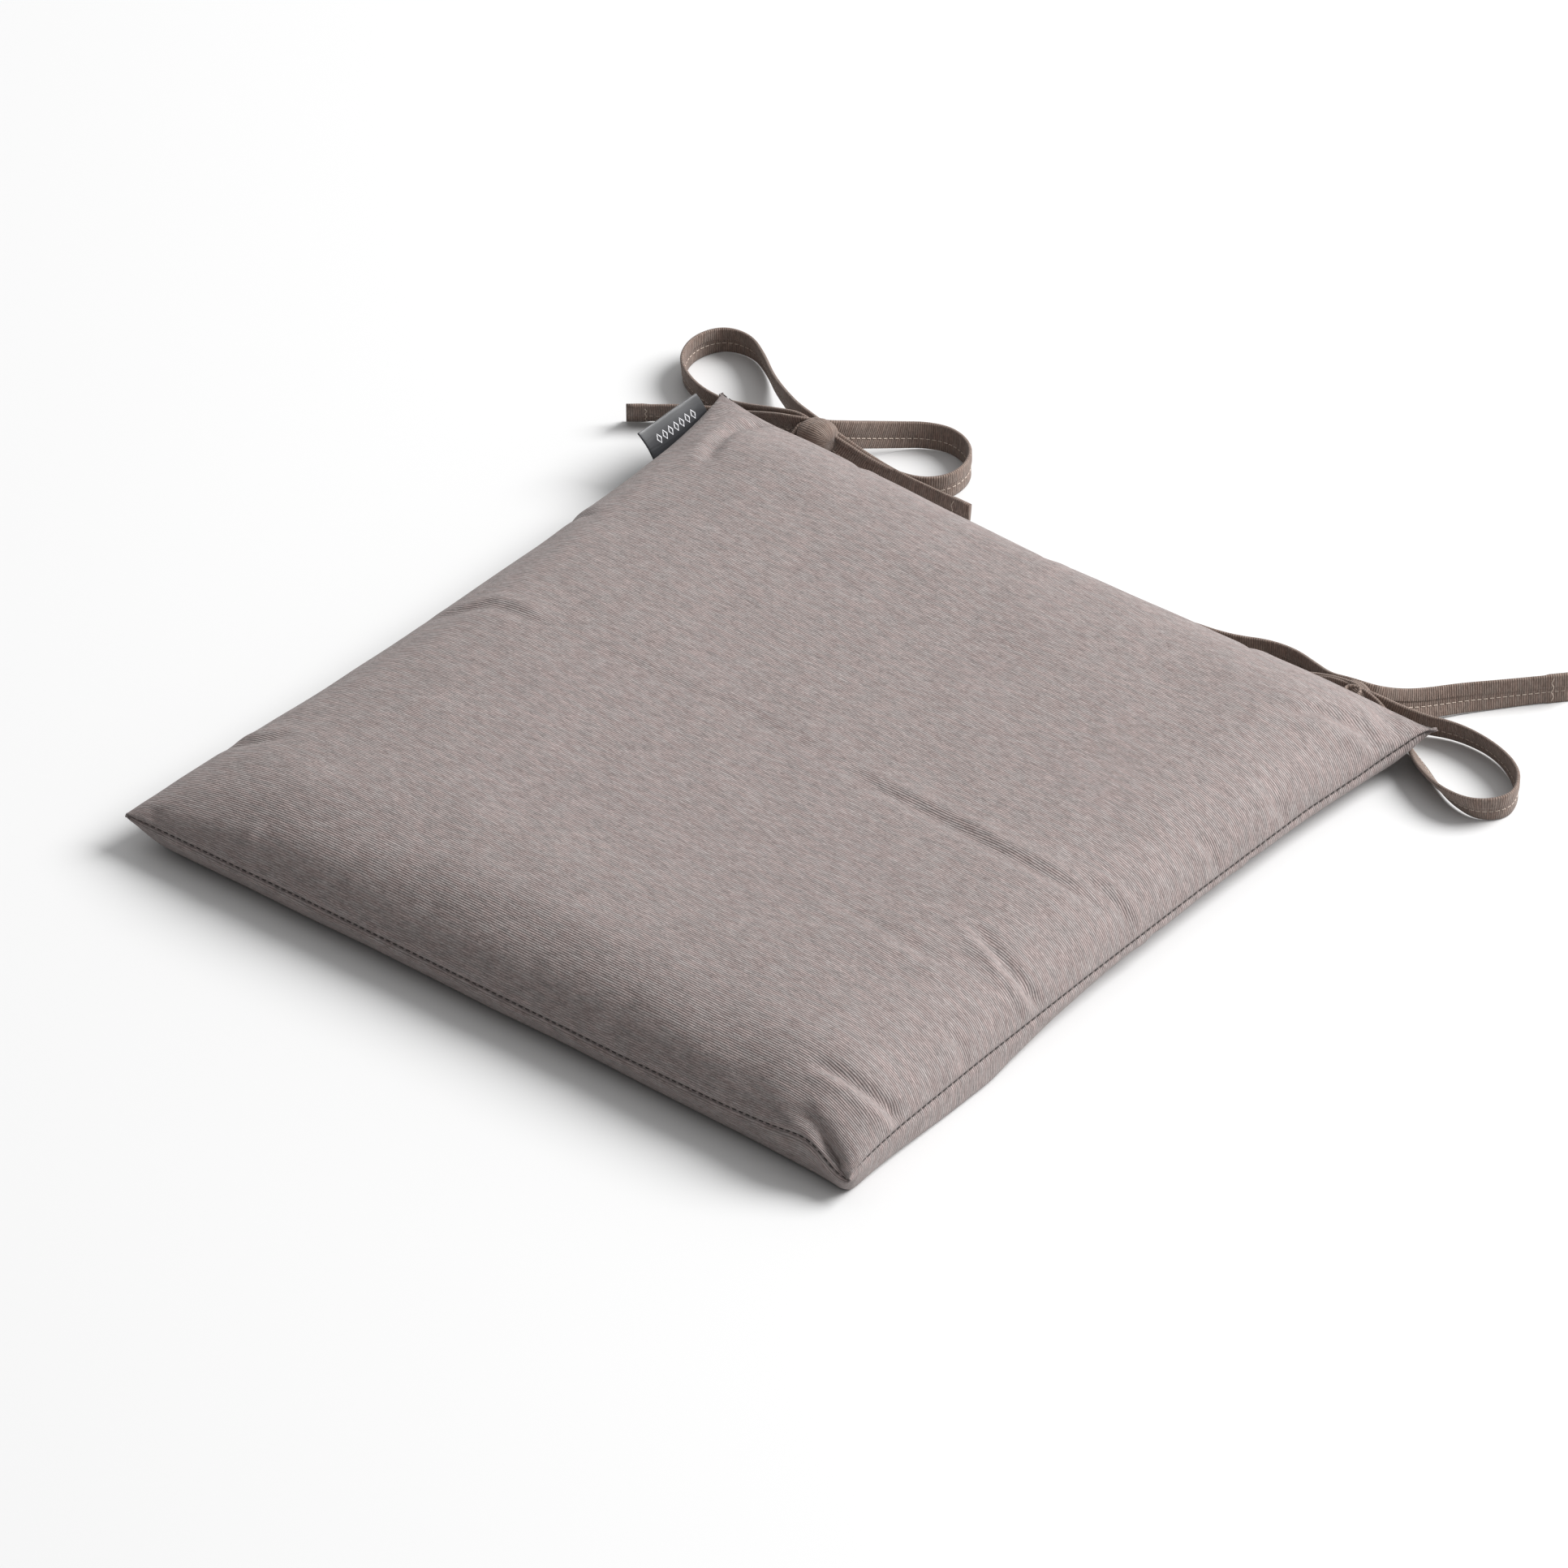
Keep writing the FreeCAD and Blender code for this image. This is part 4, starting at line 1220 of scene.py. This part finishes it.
# ---------------------------------------------------------------- side label
@dataclass
class SideLabel:
    """A folded satin tab sewn into the left seam near the rear, with a woven row of lozenges.

    foot and top are the ends of the sewn edge and of the fold, front end first.
    """

    foot: tuple[Triple, Triple] = ((-0.2240, 0.1705, 0.0195), (-0.2262, 0.2175, 0.0195))
    top: tuple[Triple, Triple] = ((-0.2328, 0.1674, 0.0352), (-0.2330, 0.2142, 0.0353))
    belly: float = 1.0 * MM
    thickness: float = 1.1 * MM
    across: int = 28
    upwards: int = 10
    lozenges: int = 7
    lozenge_width: float = 3.7 * MM
    lozenge_height: float = 6.2 * MM
    lozenge_line: float = 0.75 * MM
    lozenge_lift: float = 0.12 * MM
    lozenge_span: Pair = (0.2, 0.8)
    lozenge_level: float = 0.53
    edge_round: float = 0.35 * MM

    def place(self, u: np.ndarray, v: np.ndarray) -> np.ndarray:
        """Places on the tab, u along the seam and v from the seam to the fold, both 0 to 1."""
        foot, top = np.array(self.foot), np.array(self.top)
        u, v = np.asarray(u)[..., None], np.asarray(v)[..., None]
        flat = (1 - v) * ((1 - u) * foot[0] + u * foot[1]) + v * ((1 - u) * top[0] + u * top[1])
        facing = unit(np.cross(foot[1] - foot[0], top[0] - foot[0]))
        bulge = np.sin(np.pi * v) * self.belly + 0.5 * MM * np.sin(2 * np.pi * u) * v
        return flat + facing * bulge

    def facing(self, u: np.ndarray, v: np.ndarray) -> np.ndarray:
        """The normal of the tab's inner face at places on it."""
        step = 1e-3
        ahead = self.place(u + step, v) - self.place(u - step, v)
        rise = self.place(u, v + step) - self.place(u, v - step)
        return unit(np.cross(ahead, rise))

    def build(self) -> None:
        """Makes the tab and its woven motif."""
        deselect_all()
        bpy.ops.mesh.primitive_grid_add(x_subdivisions=self.across, y_subdivisions=self.upwards,
                                        size=1)
        tab = bpy.context.active_object
        tab.name = tab.data.name = "side_label_tab"
        flat = np.array([vertex.co[:2] for vertex in tab.data.vertices]) + 0.5
        tab.data.vertices.foreach_set("co", self.place(flat[:, 0], flat[:, 1]).ravel())
        thicken(tab, self.thickness)
        bevel = tab.modifiers.new("Bevel", "BEVEL")
        bevel.width = self.edge_round
        bevel.segments = 3
        bpy.ops.object.modifier_apply(modifier=bevel.name)
        bpy.ops.object.shade_smooth_by_angle(angle=math.radians(50))
        tab.data.materials.clear()
        tab.data.materials.append(material(LABEL_SATIN))
        hand_over(tab, "side_label")
        self.make_motif()
        log.info("side label, %d lozenges", self.lozenges)

    def make_motif(self) -> None:
        """Makes the woven lozenges that lie on the tab's inner face."""
        outer = np.array([(1, 0), (0, 1), (-1, 0), (0, -1)]) / 2
        size = np.array([self.lozenge_width, self.lozenge_height])
        inner = outer * (1 - 2 * self.lozenge_line / size)
        span = np.linalg.norm(np.subtract(self.foot[1], self.foot[0]))
        reach = np.linalg.norm(np.subtract(self.top[0], self.foot[0]))
        scale = size / (span, reach)
        centres = [(across, self.lozenge_level)
                   for across in np.linspace(*self.lozenge_span, self.lozenges)]
        shapes = [(outer * scale + centre, inner * scale + centre) for centre in centres]
        points, faces = [], []
        for ring_out, ring_in in shapes:
            base = len(points) * 4
            high = self.lozenge_lift
            for ring, lift in ((ring_out, 0.0), (ring_out, high), (ring_in, high), (ring_in, 0.0)):
                spots = self.place(ring[:, 0], ring[:, 1])
                points.append(spots + self.facing(ring[:, 0], ring[:, 1]) * lift)
            for level in range(4):
                low, high = base + level * 4, base + (level + 1) % 4 * 4
                for corner in range(4):
                    after = (corner + 1) % 4
                    faces.append([low + corner, low + after, high + after, high + corner])
        mesh = smooth_mesh("side_label_motif", np.concatenate(points), faces)
        mesh.polygons.foreach_set("use_smooth", [False] * len(mesh.polygons))
        mesh.materials.append(material(MOTIF_THREAD))
        motif = add_piece("side_label_motif", mesh)
        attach(motif, BODY)


# ---------------------------------------------------------------- bow knots
@dataclass
class BowKnot:
    """The wrap in the middle of a bow: one strap drawn tight round the others in slanting folds."""

    node: str
    bow: Bow
    half_size: Triple = (10.4 * MM, 7.0 * MM, 9.0 * MM)
    shift: Triple = (2.5 * MM, 2.0 * MM, 0.0)
    squareness: float = 2.3
    folds: int = 2
    fold_depth: float = 0.55 * MM
    fold_slant: float = 1.0
    lap_rise: float = 0.3
    lap_fall: float = 0.8
    waist: float = 0.10
    yaw: float = 12.0
    pitch: float = -8.0

    def build(self) -> None:
        """Makes the knot."""
        deselect_all()
        bpy.ops.mesh.primitive_uv_sphere_add(segments=72, ring_count=40, radius=1)
        knot = bpy.context.active_object
        knot.name = knot.data.name = f"{self.node}_wrap"
        shape = np.array([vertex.co[:] for vertex in knot.data.vertices])
        power = self.squareness
        round_sum = (np.abs(shape) ** power).sum(axis=1) ** (1 / power)
        shape = shape / round_sum[:, None]
        turn = np.arctan2(shape[:, 2], -shape[:, 1])
        along = shape[:, 0]
        phase = self.folds * (along * 0.5 + 0.5) + self.fold_slant * turn / (2 * math.pi)
        saw = phase - np.floor(phase)
        lap = smooth_step(0.0, self.lap_rise, saw) - self.lap_fall * saw
        middle = 1 - along ** 4
        waist = 1 - self.waist * np.cos(along * math.pi * 0.5) ** 2
        half = np.array(self.half_size)
        grown = shape * half
        outward = unit(np.stack([np.zeros_like(along), shape[:, 1], shape[:, 2]], axis=1))
        grown[:, 1:] *= waist[:, None]
        grown += outward * ((lap - 0.5) * self.fold_depth * middle)[:, None]
        swing = (Matrix.Rotation(math.radians(self.yaw), 3, "Z")
                 @ Matrix.Rotation(math.radians(self.pitch), 3, "Y"))
        grown = grown @ np.array(swing).T + np.array(self.bow.value) + np.array(self.shift)
        knot.data.vertices.foreach_set("co", grown.ravel())
        knot.data.polygons.foreach_set("use_smooth", [True] * len(knot.data.polygons))
        while knot.data.uv_layers:
            knot.data.uv_layers.remove(knot.data.uv_layers[0])
        set_pattern(knot.data, np.stack([along * half[0], turn * half[2]], axis=1))
        knot.data.materials.append(material(SHADED_TIE_CLOTH))
        knot.data.update()
        hand_over(knot, self.node)


def thread_marks(name: str, middles: np.ndarray, axes: np.ndarray, radius: float) -> bpy.types.Mesh:
    """Short stitches, one capsule of thread each.

    Args:
        name: the mesh's name.
        middles: the middle of each stitch.
        axes: from one end of each stitch to the other.
        radius: the thread's radius.

    Returns:
        One mesh that holds all of them.
    """
    deselect_all()
    bpy.ops.mesh.primitive_cylinder_add(vertices=6, radius=1, depth=2)
    bpy.ops.object.mode_set(mode="EDIT")
    bpy.ops.mesh.bevel(offset=0.35, segments=1)
    bpy.ops.object.mode_set(mode="OBJECT")
    model = bpy.context.active_object
    shape = np.array([vertex.co[:] for vertex in model.data.vertices])
    faces = [list(face.vertices) for face in model.data.polygons]
    bpy.data.objects.remove(model)
    lengths = np.linalg.norm(axes, axis=1)
    ahead = axes / lengths[:, None]
    helper = np.where(np.abs(ahead[:, 2:]) > 0.9, (1.0, 0.0, 0.0), (0.0, 0.0, 1.0))
    side = unit(np.cross(helper, ahead))
    over = np.cross(ahead, side)
    points = (middles[:, None] + side[:, None] * (shape[:, 0] * radius)[None, :, None]
              + over[:, None] * (shape[:, 1] * radius)[None, :, None]
              + ahead[:, None] * (shape[None, :, 2] * lengths[:, None] / 2)[:, :, None])
    count = len(shape)
    copies = [[corner + number * count for corner in face]
              for number in range(len(middles)) for face in faces]
    return smooth_mesh(name, points.reshape(-1, 3), copies)


LEFT_INNER = Tie(
    "left_inner_tie", Bow.LEFT,
    entry=[(4, -16.1, 16), (4, -7.5, 18.5), (2.5, -1.5, 22.5)],
    loop=[(-8, 0, 24), (-21, 0, 21), (-39, 2.5, 14), (-60, 3, 8.6), (-82, 6, 8.3),
          (-102, 17, 8.3), (-110, 36, 8.3), (-104, 54, 8.3), (-87, 58, 8.3), (-69, 47.5, 8.6),
          (-53, 34, 12), (-35, 21.5, 16), (-18, 9.5, 20.5), (-8, 3.2, 23.5)],
    tail=[(9.5, -2.8, 24), (17, -1.5, 20), (32, 2, 13), (53, 4.5, 8.6), (76, 5.5, 8.3),
          (98, 6, 8.3)],
    leans=[(0, 0), (0.05, 0), (0.1, -16), (0.27, -16), (0.35, 0), (0.45, 10), (0.62, 14),
           (0.7, 0), (0.74, -15), (0.8, -33), (1, -5)],
)
LEFT_OUTER = Tie(
    "left_outer_tie", Bow.LEFT,
    entry=[(-4, -15.6, 16), (-4, -7.5, 18.5), (-1.5, -1.5, 22.5)],
    loop=[(8, 0, 24), (17.7, 2.5, 21), (31, 5.5, 15), (47, 9.5, 9), (63, 11.5, 8.3),
          (72.5, 22, 8.3), (72, 38, 8.3), (63.5, 50.5, 8.3), (48, 56, 8.3), (34, 51, 8.6),
          (24, 40, 10), (17.5, 27, 14), (13, 14, 19), (6.5, 2.83, 23)],
    tail=[(-8, -3.2, 24), (-21, -3.2, 20), (-38, -2.2, 13), (-56, -2.5, 8.6), (-76, -12.5, 8.3),
          (-98, -31, 8.3)],
    leans=[(0, 0), (0.05, 0), (0.09, 38), (0.17, 34), (0.27, 8), (0.36, 0), (0.64, 0),
           (0.7, -16), (0.9, -22), (1, -30)],
)
RIGHT_INNER = Tie(
    "right_inner_tie", Bow.RIGHT,
    entry=[(-4, -16.1, 15), (-4, -8.5, 16.5), (-2, -5, 18)],
    loop=[(9.5, -5, 16.5), (20, -5.5, 12.5), (32, -8, 8.6), (44, -14, 7.1), (60, -24.5, 7.3),
          (78, -32.5, 8.1), (96, -33, 8.3), (107, -20, 8.3), (101, -4, 8.3), (88, 7, 8.3),
          (69, 14.5, 8.3), (48, 15, 8.3), (31, 8, 9), (18, 1, 12.5), (8, -3, 16)],
    tail=[(-8, -5.2, 17), (-20, -4.2, 14), (-37, -10, 9.5), (-55, -15, 8.6), (-73, -17.5, 8.3),
          (-90, -19, 8.3)],
    leans=[(0, 0), (0.06, 0), (0.12, 22), (0.2, 40), (0.27, 34), (0.36, 12), (0.44, 0),
           (0.52, -22), (0.62, -22), (0.7, 0), (1, 0)],
)
RIGHT_OUTER = Tie(
    "right_outer_tie", Bow.RIGHT,
    entry=[(4, -15.6, 15), (4, -8.5, 16.5), (1.5, -4, 18)],
    loop=[(-8, -3.5, 17), (-20, -3.5, 14.5), (-38, -7, 10.5), (-57, -10, 8.6), (-75, -12.5, 8.3),
          (-90, -14, 8.3), (-104, -15, 8.3), (-112, -9.5, 8.3), (-106, -3, 8.3),
          (-93, -1.5, 8.3), (-80, 2, 8.3), (-66, 9, 8.3), (-51, 11, 8.4), (-36, 7, 9.5),
          (-20, -0.5, 13), (-8, -2, 16.5)],
    tail=[(6.5, -0.5, 16.5), (14, 9, 12.5), (21.5, 21, 9.6), (32, 38, 8.6), (44, 52.5, 8.3),
          (56, 67, 8.3), (69, 82, 8.3)],
    leans=[(0, 0), (0.6, 0), (0.66, -10), (0.7, -30), (0.8, -20), (0.92, -4), (1, 0)],
)


def main() -> None:
    """Builds the pad."""
    logging.basicConfig(level=logging.INFO, format="%(name)s: %(message)s")
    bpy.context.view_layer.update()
    Viewpoint().build()
    Studio().build()
    SeatCover().build()
    for tie in (LEFT_INNER, LEFT_OUTER, RIGHT_INNER, RIGHT_OUTER):
        tie.build()
    SideLabel().build()
    BowKnot("left_bow_knot", Bow.LEFT, half_size=(10.4 * MM, 10.5 * MM, 9.4 * MM),
            shift=(7 * MM, -4 * MM, 1 * MM), yaw=-8.0).build()
    BowKnot("right_bow_knot", Bow.RIGHT, half_size=(9.4 * MM, 6.2 * MM, 7.6 * MM),
            shift=(-1 * MM, -3 * MM, -6 * MM), yaw=-20.0).build()


if __name__ == "__main__":
    main()
